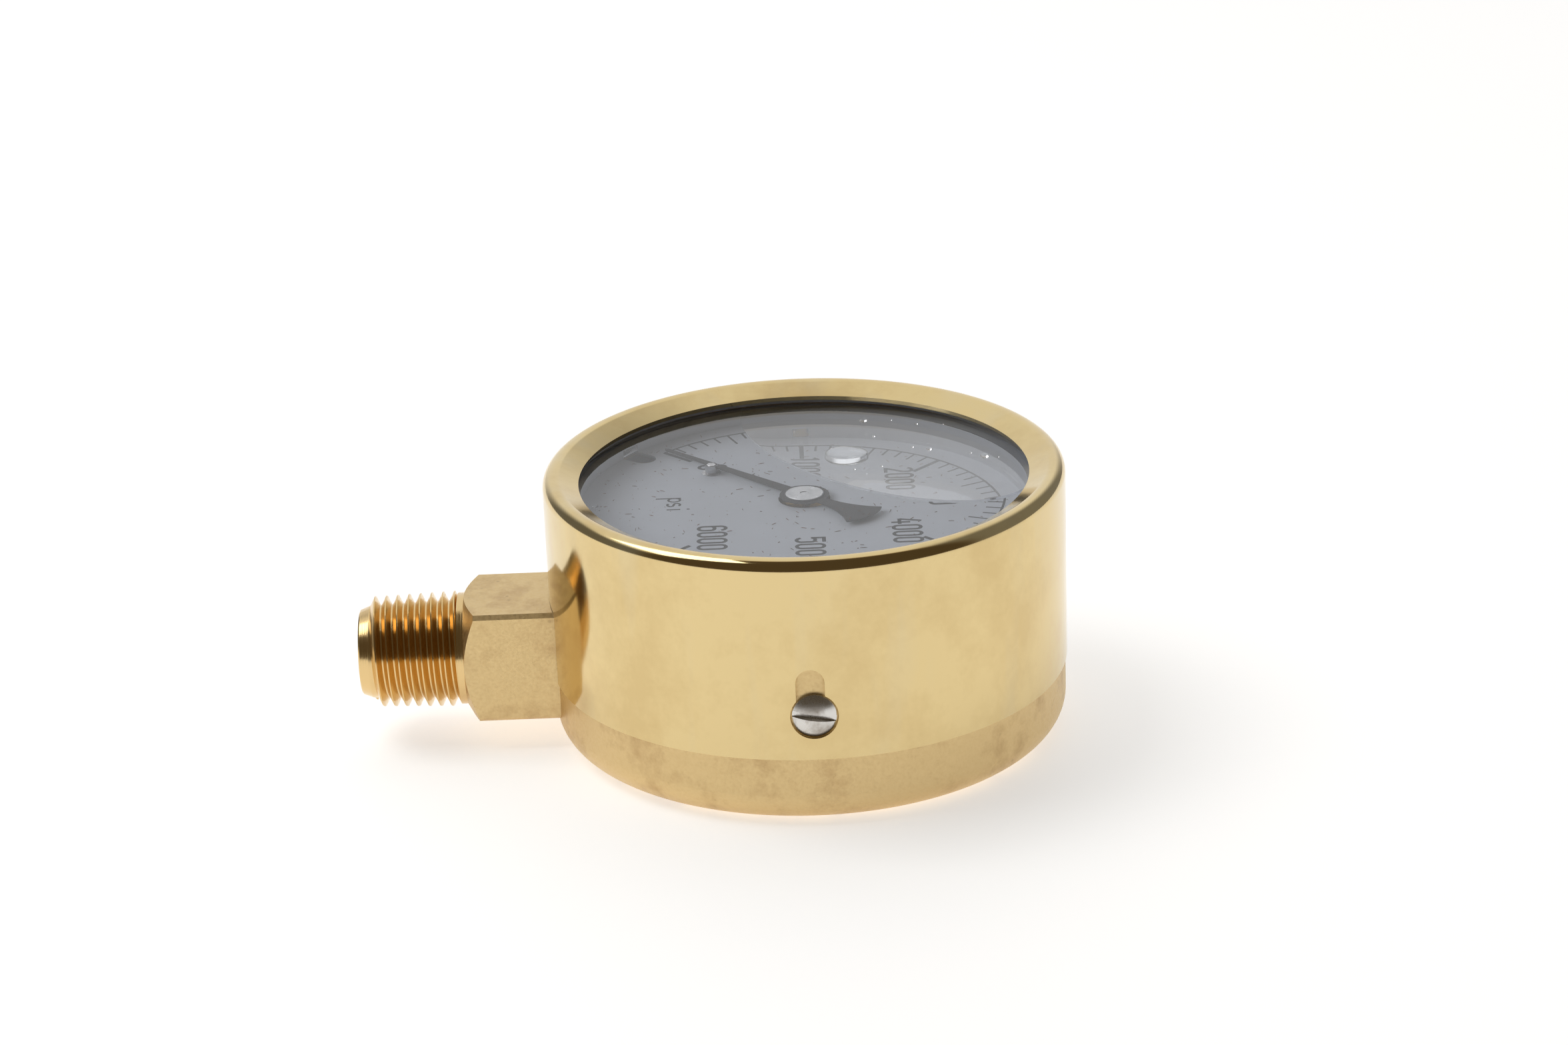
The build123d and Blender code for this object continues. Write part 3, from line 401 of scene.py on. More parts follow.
def coating(name):
    # Paints, ink and rubber: an even colour with slight patches and a fine stipple.
    pale, dark, low, high, grainSize, relief = coatings[name]
    material, tree = newMaterial(name)
    where = addNode(tree, "ShaderNodeTexCoord")
    grain = addNode(tree, "ShaderNodeTexNoise", {
        "Vector": where.outputs["Object"], "Scale": 1000 / grainSize, "Detail": 3.0})
    patch = addNode(tree, "ShaderNodeTexNoise", {
        "Vector": where.outputs["Object"], "Scale": 1000 / 7.0, "Detail": 4.0, "Roughness": 0.6})
    colour = addNode(tree, "ShaderNodeMix", {
        "Factor": patch.outputs["Fac"], 6: hexColour(pale), 7: hexColour(dark)}, data_type="RGBA")
    rough = addNode(tree, "ShaderNodeMapRange", {
        "Value": grain.outputs["Fac"], "From Min": 0.3, "From Max": 0.7, "To Min": low, "To Max": high})
    bump = addNode(tree, "ShaderNodeBump", {
        "Height": grain.outputs["Fac"], "Strength": 0.3, "Distance": relief * mm})
    shader = addNode(tree, "ShaderNodeBsdfPrincipled", {
        "Base Color": colour.outputs[2], "Roughness": rough.outputs[0], "Normal": bump.outputs[0]})
    addNode(tree, "ShaderNodeOutputMaterial", {"Surface": shader.outputs[0]})
    return material


blackPaint = coating("stovedBlackPaint")
dialPaintWithPaintedShade = coating("whiteDialPlateWithPaintedShade")
dialInk = coating("screenPrintedInk")
blackRubber = coating("mouldedBlackRubber")
greyRubber = coating("mouldedGreyRubber")

# ---- window and liquid share one outline: the bubble that lies under the window
bubble = {
    "centre": (10.38, 14.38),
    "halfWidth": 13.02,
    "halfLength": 23.96,
    "turn": 38.4,
    "wallReach": 27.55,
    "restHeight": 24.9,
    "capillary": 2.25,
    "rings": 26,
    "steps": 160,
}
dialThickness = 1.0
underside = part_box("window")[0].z / mm
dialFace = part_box("dial")[0].z / mm + dialThickness


def bubbleMask(tree, place):
    # 1 inside the bubble's outline, 0 where liquid wets the window
    centred = addNode(tree, "ShaderNodeMapping", {
        "Vector": place,
        "Location": (bubble["centre"][0] * mm, bubble["centre"][1] * mm, 0),
        "Rotation": (0, 0, radians(bubble["turn"])),
        "Scale": (bubble["halfWidth"] * mm, bubble["halfLength"] * mm, 1),
    }, vector_type="TEXTURE")
    flat = addNode(tree, "ShaderNodeVectorMath", {
        0: centred.outputs[0], 1: (1, 1, 0)}, operation="MULTIPLY")
    reach = addNode(tree, "ShaderNodeVectorMath", {0: flat.outputs[0]}, operation="LENGTH")
    return addNode(tree, "ShaderNodeMath", {0: reach.outputs["Value"], 1: 1.0}, operation="LESS_THAN")


def lampsPass(tree, body, clear):
    # lamps and the light thrown by what lies below go straight through
    path = addNode(tree, "ShaderNodeLightPath")
    passing = addNode(tree, "ShaderNodeMath", {
        0: path.outputs["Is Shadow Ray"], 1: path.outputs["Is Diffuse Ray"]}, operation="MAXIMUM")
    surface = addNode(tree, "ShaderNodeMixShader", {
        0: passing.outputs[0], 1: body.outputs[0], 2: clear.outputs[0]})
    addNode(tree, "ShaderNodeOutputMaterial", {"Surface": surface.outputs[0]})


def windowAcrylic():
    # Cast acrylic, flat and polished, with a faint handling haze. Its underside only shows
    # where it's dry: liquid that wets it bends light as the acrylic does.
    material, tree = newMaterial("castAcrylicWindow")
    where = addNode(tree, "ShaderNodeTexCoord")
    place = where.outputs["Object"]
    axes = addNode(tree, "ShaderNodeSeparateXYZ", {0: place})
    haze = addNode(tree, "ShaderNodeTexNoise", {"Vector": place, "Scale": 1000 / 8.0, "Detail": 3.0})
    rough = addNode(tree, "ShaderNodeMapRange", {
        "Value": haze.outputs["Fac"], "From Min": 0.5, "From Max": 0.8, "To Min": 0.0, "To Max": 0.03})
    glass = addNode(tree, "ShaderNodeBsdfPrincipled", {
        "Base Color": (0.985, 0.99, 1.0, 1), "Roughness": rough.outputs[0], "IOR": 1.48,
        "Transmission Weight": 1.0})
    clear = addNode(tree, "ShaderNodeBsdfTransparent")
    dry = bubbleMask(tree, place)
    above = addNode(tree, "ShaderNodeMath", {
        0: axes.outputs[2], 1: (underside + 0.05) * mm}, operation="GREATER_THAN")
    shown = addNode(tree, "ShaderNodeMath", {0: dry.outputs[0], 1: above.outputs[0]}, operation="MAXIMUM")
    body = addNode(tree, "ShaderNodeMixShader", {
        0: shown.outputs[0], 1: clear.outputs[0], 2: glass.outputs[0]})
    lampsPass(tree, body, clear)
    return material


def fillLiquid(name, lowest, highest):
    # Glycerine, thick and water-clear. Only its free surface shows, between two heights:
    # where it touches the window or the dial there is no face to see.
    material, tree = newMaterial(name)
    where = addNode(tree, "ShaderNodeTexCoord")
    place = where.outputs["Object"]
    axes = addNode(tree, "ShaderNodeSeparateXYZ", {0: place})
    ripple = addNode(tree, "ShaderNodeTexNoise", {"Vector": place, "Scale": 1000 / 3.0, "Detail": 2.0})
    bump = addNode(tree, "ShaderNodeBump", {
        "Height": ripple.outputs["Fac"], "Strength": 0.2, "Distance": 0.02 * mm})
    glass = addNode(tree, "ShaderNodeBsdfPrincipled", {
        "Base Color": (0.97, 0.985, 1.0, 1), "Roughness": 0.0, "IOR": 1.47,
        "Transmission Weight": 1.0, "Normal": bump.outputs[0]})
    clear = addNode(tree, "ShaderNodeBsdfTransparent")
    above = addNode(tree, "ShaderNodeMath", {0: axes.outputs[2], 1: lowest * mm}, operation="GREATER_THAN")
    below = addNode(tree, "ShaderNodeMath", {0: axes.outputs[2], 1: highest * mm}, operation="LESS_THAN")
    free = addNode(tree, "ShaderNodeMath", {0: above.outputs[0], 1: below.outputs[0]}, operation="MULTIPLY")
    body = addNode(tree, "ShaderNodeMixShader", {
        0: free.outputs[0], 1: clear.outputs[0], 2: glass.outputs[0]})
    lampsPass(tree, body, clear)
    return material


def brownSediment():
    # Rust and packing fibre that settled out of the filling: dull red-brown, rough.
    material, tree = newMaterial("brownSediment")
    where = addNode(tree, "ShaderNodeTexCoord")
    patch = addNode(tree, "ShaderNodeTexNoise", {
        "Vector": where.outputs["Object"], "Scale": 1000 / 1.5, "Detail": 2.0})
    tone = addNode(tree, "ShaderNodeMapRange", {
        "Value": patch.outputs["Fac"], "From Min": 0.35, "From Max": 0.65})
    colour = addNode(tree, "ShaderNodeMix", {
        "Factor": tone.outputs[0], 6: hexColour("#84523a"), 7: hexColour("#54402f")}, data_type="RGBA")
    shader = addNode(tree, "ShaderNodeBsdfPrincipled", {"Base Color": colour.outputs[2], "Roughness": 0.8})
    addNode(tree, "ShaderNodeOutputMaterial", {"Surface": shader.outputs[0]})
    return material


wallBand = (dialFace + 0.2, underside - 0.04)
windowGlass = windowAcrylic()
glycerine = fillLiquid("glycerineFilling", *wallBand)
glycerineDrop = fillLiquid("hangingGlycerine", 0.0, 2 * underside)
sedimentBrown = brownSediment()
print("materials made")

# ---- trees that repeat or follow

def newTree(name, inputs):
    # a Geometry Nodes group with named inputs; returns it with its two ends
    tree = bpy.data.node_groups.new(name, "GeometryNodeTree")
    tree.interface.new_socket("Geometry", in_out="INPUT", socket_type="NodeSocketGeometry")
    for label, kind in inputs:
        tree.interface.new_socket(label, in_out="INPUT", socket_type="NodeSocket" + kind)
    tree.interface.new_socket("Geometry", in_out="OUTPUT", socket_type="NodeSocketGeometry")
    return tree, tree.nodes.new("NodeGroupInput"), tree.nodes.new("NodeGroupOutput")


def grow(name, tree, values, body, slotName, vertices=(), edges=(), sizes=(), turns=()):
    # runs a tree on a mesh and keeps the result as a plain piece that rides on a body
    seed = bpy.data.meshes.new(name + "_seed")
    seed.from_pydata(vertices, edges, [])
    for label, rows in (("size", sizes), ("turn", turns)):
        if rows:
            seed.attributes.new(label, "FLOAT_VECTOR", "POINT").data.foreach_set(
                "vector", [part for row in rows for part in row])
    holder = bpy.data.objects.new(name + "_seed", seed)
    bpy.context.scene.collection.objects.link(holder)
    modifier = holder.modifiers.new(tree.name, "NODES")
    modifier.node_group = tree
    for item in tree.interface.items_tree:
        if item.in_out == "INPUT" and item.name in values:
            modifier[item.identifier] = values[item.name]
    bpy.context.view_layer.update()
    graph = bpy.context.evaluated_depsgraph_get()
    mesh = bpy.data.meshes.new_from_object(holder.evaluated_get(graph))
    bpy.data.objects.remove(holder)
    return keep(name, mesh, body)


def keep(name, mesh, body, material=None):
    # a finished mesh as a piece
    mesh.name = name
    if material is not None:
        mesh.materials.clear()
        mesh.materials.append(material)
    piece = bpy.data.objects.new(name, mesh)
    bpy.context.scene.collection.objects.link(piece)
    if body:
        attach(piece, body)
    return piece


def marksTree():
    # printed bars that stand round an arc, all the same
    tree, source, sink = newTree("dialMarks", (
        ("Count", "Int"), ("First", "Float"), ("Step", "Float"), ("Reach", "Float"),
        ("Length", "Float"), ("Width", "Float"), ("Thickness", "Float"), ("Height", "Float"),
        ("Ink", "Material")))
    get = source.outputs
    number = addNode(tree, "GeometryNodeInputIndex")
    angle = addNode(tree, "ShaderNodeMath", {
        0: number.outputs[0], 1: get["Step"], 2: get["First"]}, operation="MULTIPLY_ADD")
    half = addNode(tree, "ShaderNodeMath", {
        0: get["Length"], 1: -0.5, 2: get["Reach"]}, operation="MULTIPLY_ADD")
    cosine = addNode(tree, "ShaderNodeMath", {0: angle.outputs[0]}, operation="COSINE")
    sine = addNode(tree, "ShaderNodeMath", {0: angle.outputs[0]}, operation="SINE")
    x = addNode(tree, "ShaderNodeMath", {0: cosine.outputs[0], 1: half.outputs[0]}, operation="MULTIPLY")
    y = addNode(tree, "ShaderNodeMath", {0: sine.outputs[0], 1: half.outputs[0]}, operation="MULTIPLY")
    spot = addNode(tree, "ShaderNodeCombineXYZ", {0: x.outputs[0], 1: y.outputs[0], 2: get["Height"]})
    turn = addNode(tree, "ShaderNodeCombineXYZ", {2: angle.outputs[0]})
    row = addNode(tree, "GeometryNodeMeshLine", {"Count": get["Count"]})
    placed = addNode(tree, "GeometryNodeSetPosition", {
        "Geometry": row.outputs[0], "Position": spot.outputs[0]})
    size = addNode(tree, "ShaderNodeCombineXYZ", {0: get["Length"], 1: get["Width"], 2: get["Thickness"]})
    bar = addNode(tree, "GeometryNodeMeshCube", {"Size": size.outputs[0]})
    bars = addNode(tree, "GeometryNodeInstanceOnPoints", {
        "Points": placed.outputs[0], "Instance": bar.outputs[0], "Rotation": turn.outputs[0]})
    real = addNode(tree, "GeometryNodeRealizeInstances", {0: bars.outputs[0]})
    inked = addNode(tree, "GeometryNodeSetMaterial", {"Geometry": real.outputs[0], "Material": get["Ink"]})
    tree.links.new(inked.outputs[0], sink.inputs[0])
    return tree


def strokeTree():
    # printed strokes: a flat bar swept along every edge chain
    tree, source, sink = newTree("inkStrokes", (
        ("Width", "Float"), ("Thickness", "Float"), ("Ink", "Material")))
    get = source.outputs
    chains = addNode(tree, "GeometryNodeMeshToCurve", {"Mesh": get["Geometry"]})
    level = addNode(tree, "GeometryNodeSetCurveNormal", {0: chains.outputs[0]}, mode="Z_UP")
    outline = addNode(tree, "GeometryNodeCurvePrimitiveQuadrilateral", {
        "Width": get["Width"], "Height": get["Thickness"]})
    swept = addNode(tree, "GeometryNodeCurveToMesh", {
        "Curve": level.outputs[0], "Profile Curve": outline.outputs[0], "Fill Caps": True})
    flat = addNode(tree, "GeometryNodeSetShadeSmooth", {0: swept.outputs[0], "Shade Smooth": False})
    real = addNode(tree, "GeometryNodeRealizeInstances", {0: flat.outputs[0]})
    inked = addNode(tree, "GeometryNodeSetMaterial", {"Geometry": real.outputs[0], "Material": get["Ink"]})
    tree.links.new(inked.outputs[0], sink.inputs[0])
    return tree


# ---- print on the dial
dialPrint = {
    "firstAzimuth": 135.0,
    "step": 4.5,
    "arcReach": 24.6,
    "arcWidth": 0.3,
    "marks": (("hundreds", 1, 2.0, 0.28), ("five_hundreds", 5, 3.3, 0.28), ("thousands", 10, 4.8, 0.56)),
    "thickness": 0.02,
    "numeralReach": 16.6,
    "numeralShift": 0.4,
    "numeralHeight": 3.75,
    "numeralWidth": 1.7,
    "numeralPitch": 1.98,
    "numeralStroke": 0.46,
    "unitPlace": (-16.2, -0.6),
    "unitStroke": 0.3,
    "unitScale": 1.2,
    "unitPitch": 1.55,
}
inkHeight = dialFace + dialPrint["thickness"] / 2
top = dialPrint["numeralHeight"] / 2 - dialPrint["numeralStroke"] / 2
side = dialPrint["numeralWidth"] / 2 - dialPrint["numeralStroke"] / 2


def arc(x, y, rx, ry, first, last, count=9):
    return [(x + rx * cos(radians(first + (last - first) * i / count)),
             y + ry * sin(radians(first + (last - first) * i / count))) for i in range(count + 1)]


crown, foot = top - side, side - top
numerals = {
    # strokes of each figure about its middle, in millimetres
    "0": [arc(0, crown, side, side, 0, 180) + arc(0, foot, side, side, 180, 360) + [(side, crown)]],
    "1": [[(0.15, top + 0.2), (0.15, -top - 0.2)], [(-0.5, top - 0.55), (0.1, top)]],
    "2": [arc(0, crown, side, side, 170, -20)
          + [(side * 0.8, 0.35), (-side, foot + 0.1 - side), (-side, -top)],
          [(-side - 0.2, -top), (side + 0.2, -top)]],
    "3": [arc(0, crown, side, side, 165, 0) + [(side, 0.5)] + arc(side - 0.35, 0.45, 0.35, 0.35, 0, -90, 4)
          + [(-0.1, 0.1)],
          [(-0.1, 0.05)] + arc(side - 0.35, -0.4, 0.35, 0.35, 90, 0, 4) + [(side, foot)]
          + arc(0, foot, side, side, 0, -165)],
    "4": [[(0.3, 0.45), (0.3, -top - 0.2)], [(0.0, top + 0.15), (-side - 0.05, -0.85)],
          [(-side - 0.2, -0.85), (side + 0.25, -0.85)]],
    "5": [[(side + 0.1, top), (-side - 0.2, top)], [(-side, top), (-side, 0.1)],
          arc(0, 0.15, side, 0.45, 170, 0) + arc(0, foot, side, side, 0, -170)],
    "6": [arc(0, crown, side, side, 5, 180) + arc(0, foot, side, side, 180, 360) + [(side, -0.15)]
          + arc(0, -0.15, side, 0.45, 0, 170)],
    "p": [[(-0.5, 0.85), (-0.5, -1.75)], arc(-0.02, 0.15, 0.5, 0.62, 165, -165, 12)],
    "s": [arc(0, 0.42, 0.42, 0.34, 40, 230, 8) + arc(0, -0.2, 0.42, 0.34, 50, -140, 8)],
    "i": [[(0, 0.8), (0, -0.6)], [(0, 1.45), (0, 1.75)]],
}


def lettering(words):
    # vertices and edges of words laid on the dial, which read towards -Y with +X upwards
    vertices, edges = [], []
    for word, (x, y), pitch, size in words:
        for place, figure in enumerate(word):
            along = (place - (len(word) - 1) / 2) * pitch
            for stroke in numerals[figure]:
                first = len(vertices)
                vertices += [
                    Vector((x + v * size, y - along - u * size, inkHeight)) * mm for u, v in stroke]
                edges += [(first + i, first + i + 1) for i in range(len(stroke) - 1)]
    return vertices, edges


def printDial():
    marks, strokes = marksTree(), strokeTree()
    step = radians(dialPrint["step"])
    for name, every, length, width in dialPrint["marks"]:
        grow("dial_" + name, marks, {
            "Count": 60 // every + 1,
            "First": radians(dialPrint["firstAzimuth"]),
            "Step": -step * every,
            "Reach": dialPrint["arcReach"] * mm,
            "Length": length * mm,
            "Width": width * mm,
            "Thickness": (dialPrint["thickness"] + 0.001 * every) * mm,
            "Height": inkHeight * mm,
            "Ink": dialInk,
        }, "housing", "black_paint", [(0, 0, 0)])
    ends = dialPrint["firstAzimuth"]
    chain = [spread(ends - 2 * ends * i / 120, dialPrint["arcReach"], inkHeight) for i in range(121)]
    grow("dial_arc", strokes, {
        "Width": dialPrint["arcWidth"] * mm, "Thickness": dialPrint["thickness"] * mm, "Ink": dialInk,
    }, "housing", "black_paint", chain, [(i, i + 1) for i in range(120)])
    reach = dialPrint["numeralReach"]
    words = [("0" if value == 0 else str(value * 1000),
              (reach * cos(radians(ends - 45 * value)) + dialPrint["numeralShift"],
               reach * sin(radians(ends - 45 * value))),
              dialPrint["numeralPitch"], 1.0) for value in range(7)]
    grow("dial_numerals", strokes, {
        "Width": dialPrint["numeralStroke"] * mm, "Thickness": dialPrint["thickness"] * mm, "Ink": dialInk,
    }, "housing", "black_paint", *lettering(words))
    grow("dial_unit", strokes, {
        "Width": dialPrint["unitStroke"] * mm, "Thickness": dialPrint["thickness"] * mm, "Ink": dialInk,
    }, "housing", "black_paint", *lettering([
        ("psi", dialPrint["unitPlace"], dialPrint["unitPitch"], dialPrint["unitScale"])]))


printDial()
print("dial printed")

# ---- filling, its bubble and what hangs or lies in it

def climb(height):
    # how far a still liquid stands from the wall line at a height above its level
    size = bubble["capillary"]
    return size * (acosh(2 * size / height) - sqrt(4 - (height / size) ** 2))


def wallAlong(direction):
    # from the bubble's middle to the tray wall, in a direction
    cx, cy = bubble["centre"]
    across = cx * direction.x + cy * direction.y
    return sqrt(across ** 2 - cx ** 2 - cy ** 2 + bubble["wallReach"] ** 2) - across


def makeLiquid():
    cx, cy = bubble["centre"]
    a, b, turn = bubble["halfWidth"], bubble["halfLength"], radians(bubble["turn"])
    steps, rings = bubble["steps"], bubble["rings"]
    full = underside - 0.02 - bubble["restHeight"]
    form = bmesh.new()
    loops = []
    for ring in range(rings + 1):
        height = full * (0.012 / full) ** (ring / rings)
        inwards = climb(height) - climb(full)
        loop = []
        for step in range(steps):
            t = 2 * pi * step / steps
            u, v = (a - inwards) * cos(t), (b - inwards) * sin(t)
            offset = Vector((u * cos(turn) - v * sin(turn), u * sin(turn) + v * cos(turn)))
            direction = offset.normalized()
            reach = min(offset.length, wallAlong(direction))
            loop.append(form.verts.new(Vector((
                cx + direction.x * reach, cy + direction.y * reach, bubble["restHeight"] + height)) * mm))
        loops.append(loop)
    for height in (underside - 0.02, dialFace - 0.05):
        loop = []
        for vertex in loops[0]:
            direction = Vector((vertex.co.x / mm - cx, vertex.co.y / mm - cy)).normalized()
            reach = wallAlong(direction)
            loop.append(form.verts.new(Vector((
                cx + direction.x * reach, cy + direction.y * reach, height)) * mm))
        loops.insert(0, loop)
    for outer, inner in zip(loops, loops[1:]):
        for step in range(steps):
            after = (step + 1) % steps
            form.faces.new((outer[step], outer[after], inner[after], inner[step]))
    form.faces.new(loops[-1])
    form.faces.new(list(reversed(loops[0])))
    bmesh.ops.remove_doubles(form, verts=form.verts, dist=0.001 * mm)
    bmesh.ops.recalc_face_normals(form, faces=form.faces)
    mesh = bpy.data.meshes.new("liquid")
    form.to_mesh(mesh)
    form.free()
    mesh.polygons.foreach_set("use_smooth", [True] * len(mesh.polygons))
    keep("liquid", mesh, "housing", glycerine)


hanging = {
    "place": (5.5, 11.8),
    "reach": (2.55, 2.35),
    "depth": 1.3,
    "rings": 14,
    "steps": 40,
}


def makeHangingDrop():
    form = bmesh.new()
    ceiling = underside - 0.015
    x, y = hanging["place"]
    rx, ry = hanging["reach"]
    steps, rings = hanging["steps"], hanging["rings"]
    loops = []
    for ring in range(rings):
        fall = ring / rings
        across = (1 - fall ** 5) ** 0.5 * (1 + 0.06 * sin(pi * fall))
        loop = []
        for step in range(steps):
            t = 2 * pi * step / steps
            lobe = 1 + 0.05 * cos(2 * t + 0.7) + 0.03 * cos(3 * t)
            loop.append(form.verts.new(Vector((
                x + rx * across * lobe * cos(t), y + ry * across * lobe * sin(t),
                ceiling - hanging["depth"] * fall)) * mm))
        loops.append(loop)
    for outer, inner in zip(loops, loops[1:]):
        for step in range(steps):
            after = (step + 1) % steps
            form.faces.new((outer[step], outer[after], inner[after], inner[step]))
    tip = form.verts.new(Vector((x, y, ceiling - hanging["depth"])) * mm)
    for step in range(steps):
        form.faces.new((loops[-1][step], loops[-1][(step + 1) % steps], tip))
    form.faces.new(list(reversed(loops[0])))
    bmesh.ops.recalc_face_normals(form, faces=form.faces)
    mesh = bpy.data.meshes.new("hanging_drop")
    form.to_mesh(mesh)
    form.free()
    mesh.polygons.foreach_set("use_smooth", [len(face.vertices) < 5 for face in mesh.polygons])
    keep("hanging_drop", mesh, "housing", glycerineDrop)


droplets = {
    # place and size in millimetres, on the underside of the window
    "spots": ((8.1, 24.0, 0.6), (11.6, 23.1, 0.2), (14.8, 21.5, 0.28), (9.2, 17.5, 0.22),
              (13.9, 13.2, 0.24), (16.0, 12.5, 0.42), (21.1, 10.3, 0.2), (22.8, 9.6, 0.62),
              (24.4, 8.4, 0.15), (6.4, 6.1, 0.18), (9.8, 6.9, 0.22), (-25.4, 8.1, 0.3),
              (-25.6, -3.2, 0.45), (-25.2, -4.6, 0.3)),
    "flatness": 0.55,
    "gap": 0.015,
    "segments": 14,
}


def dropletTree():
    # one flattened bead on each point, as wide and deep as its size attribute says
    tree, source, sink = newTree("ceilingDroplets", (("Segments", "Int"), ("Liquid", "Material")))
    get = source.outputs
    size = addNode(tree, "GeometryNodeInputNamedAttribute", {"Name": "size"}, data_type="FLOAT_VECTOR")
    ball = addNode(tree, "GeometryNodeMeshUVSphere", {
        "Segments": get["Segments"], "Rings": 9, "Radius": 1.0})
    smooth = addNode(tree, "GeometryNodeSetShadeSmooth", {0: ball.outputs[0], "Shade Smooth": True})
    dots = addNode(tree, "GeometryNodeInstanceOnPoints", {
        "Points": get["Geometry"], "Instance": smooth.outputs[0], "Scale": size.outputs[0]})
    real = addNode(tree, "GeometryNodeRealizeInstances", {0: dots.outputs[0]})
    wet = addNode(tree, "GeometryNodeSetMaterial", {"Geometry": real.outputs[0], "Material": get["Liquid"]})
    tree.links.new(wet.outputs[0], sink.inputs[0])
    return tree


def makeDroplets():
    deep = droplets["flatness"]
    spots = [Vector((x, y, underside - droplets["gap"] - size * deep)) * mm
             for x, y, size in droplets["spots"]]
    sizes = [(size * mm, size * mm, size * deep * mm) for x, y, size in droplets["spots"]]
    grow("window_droplets", dropletTree(), {"Segments": droplets["segments"], "Liquid": glycerineDrop},
         "housing", "clear_window", spots, sizes=sizes)


sediment = {
    "seed": 7,
    "grains": 620,
    "hairs": 240,
    "grainSize": (0.04, 0.15),
    "hairLength": (0.25, 0.95),
    "hairWidth": 0.045,
    "reach": 26.5,
    "sides": 5,
    "hairStretch": 8,
    "lift": 0.02,
}


def sedimentTree():
    # scattered grains and hairs: one on each point, turned and sized by attributes
    tree, source, sink = newTree("sedimentScatter", (("Sides", "Int"), ("Matter", "Material")))
    get = source.outputs
    size = addNode(tree, "GeometryNodeInputNamedAttribute", {"Name": "size"}, data_type="FLOAT_VECTOR")
    turn = addNode(tree, "GeometryNodeInputNamedAttribute", {"Name": "turn"}, data_type="FLOAT_VECTOR")
    grain = addNode(tree, "GeometryNodeMeshCylinder", {
        "Vertices": get["Sides"], "Side Segments": 3, "Radius": 0.5, "Depth": 1.0})
    place = addNode(tree, "GeometryNodeInputPosition")
    axes = addNode(tree, "ShaderNodeSeparateXYZ", {0: place.outputs[0]})
    bow = addNode(tree, "ShaderNodeMath", {0: axes.outputs[2], 1: axes.outputs[2]}, operation="MULTIPLY")
    aside = addNode(tree, "ShaderNodeCombineXYZ", {0: bow.outputs[0]})
    bent = addNode(tree, "GeometryNodeSetPosition", {
        "Geometry": grain.outputs[0], "Offset": aside.outputs[0]})
    dots = addNode(tree, "GeometryNodeInstanceOnPoints", {
        "Points": get["Geometry"], "Instance": bent.outputs[0], "Rotation": turn.outputs[0],
        "Scale": size.outputs[0]})
    real = addNode(tree, "GeometryNodeRealizeInstances", {0: dots.outputs[0]})
    brown = addNode(tree, "GeometryNodeSetMaterial", {
        "Geometry": real.outputs[0], "Material": get["Matter"]})
    tree.links.new(brown.outputs[0], sink.inputs[0])
    return tree


def makeSediment():
    # what drifts down lands on the hand where the hand is, and on the dial elsewhere
    tree = sedimentTree()
    rng = random.Random(sediment["seed"])
    landed = {"pointer": ([], [], []), "dial": ([], [], [])}
    bpy.context.view_layer.update()
    for number in range(sediment["grains"] + sediment["hairs"]):
        azimuth, reach = rng.uniform(0, 360), sediment["reach"] * sqrt(rng.random())
        hair = number >= sediment["grains"]
        low, high = sediment["hairLength" if hair else "grainSize"]
        long = low + (high - low) * rng.random() ** 2
        wide = sediment["hairWidth"] if hair else long * rng.uniform(0.5, 0.9)
        yaw = rng.uniform(0, 2 * pi)
        start = spread(azimuth, reach, underside)
        for name in landed:
            hit, spot, face, index = nodes[name].ray_cast(start, Vector((0, 0, -1)))
            if hit and face.z > 0.99 and spot.z > (dialFace - 0.01) * mm:
                points, sizes, turns = landed[name]
                points.append(spot + Vector((0, 0, (wide / 2 + sediment["lift"]) * mm)))
                # a hair is stretched along X, so it bows more
                stretch = sediment["hairStretch"] if hair else 1
                sizes.append((wide * mm * stretch, wide * mm, long * mm))
                turns.append((0, pi / 2, yaw))
                break
    for name, body in (("pointer", "pointer"), ("dial", "housing")):
        points, sizes, turns = landed[name]
        grow("sediment_on_" + name, tree, {"Sides": sediment["sides"], "Matter": sedimentBrown}, body,
             None, points, sizes=sizes, turns=turns)


sleeve = {
    "radius": 32.0,
    "wall": 0.7,
    "crownRadius": 1.47,
    "lipRadius": 27.6,
    "lipSlope": 27.0,
    "notchHalfWidth": 7.225,
    "notchTop": 18.225,
    "notchCorner": 0.5,
    "keyholeRadius": 2.85,
    "keyholeHeight": 14.35,
    "slotHalfWidth": 1.7,
    "slotTop": 20.3,
    "slotShift": -0.4,
    "segments": 400,
    "crownSteps": 40,
}


def sleeveProfile(rim, top):
    # half section as radius and height, from the rim up the outside, over the crown and back
    radius, wall, bend = sleeve["radius"], sleeve["wall"], sleeve["crownRadius"]
    slope, steps = radians(sleeve["lipSlope"]), sleeve["crownSteps"]
    middle = (radius - bend, top - bend)
    turn = pi / 2 + slope
    reach = (middle[0] + bend * cos(turn) - sleeve["lipRadius"]) / cos(slope)
    sides = []
    for size in (bend, bend - wall):
        bow = [(middle[0] + size * cos(turn * i / steps), middle[1] + size * sin(turn * i / steps))
               for i in range(steps + 1)]
        x, z = bow[-1]
        sides.append([(middle[0] + size, rim)] + bow + [(x - reach * cos(slope), z - reach * sin(slope))])
    return sides[0] + list(reversed(sides[1]))


def prism(form, outline, shift):
    # closed solid between an outline and its copy, moved by a shift
    near = [form.verts.new(Vector(point) * mm) for point in outline]
    far = [form.verts.new((Vector(point) + Vector(shift)) * mm) for point in outline]
    form.faces.new(near)
    form.faces.new(list(reversed(far)))
    for index, vertex in enumerate(near):
        after = (index + 1) % len(near)
        form.faces.new((near[after], vertex, far[index], far[after]))


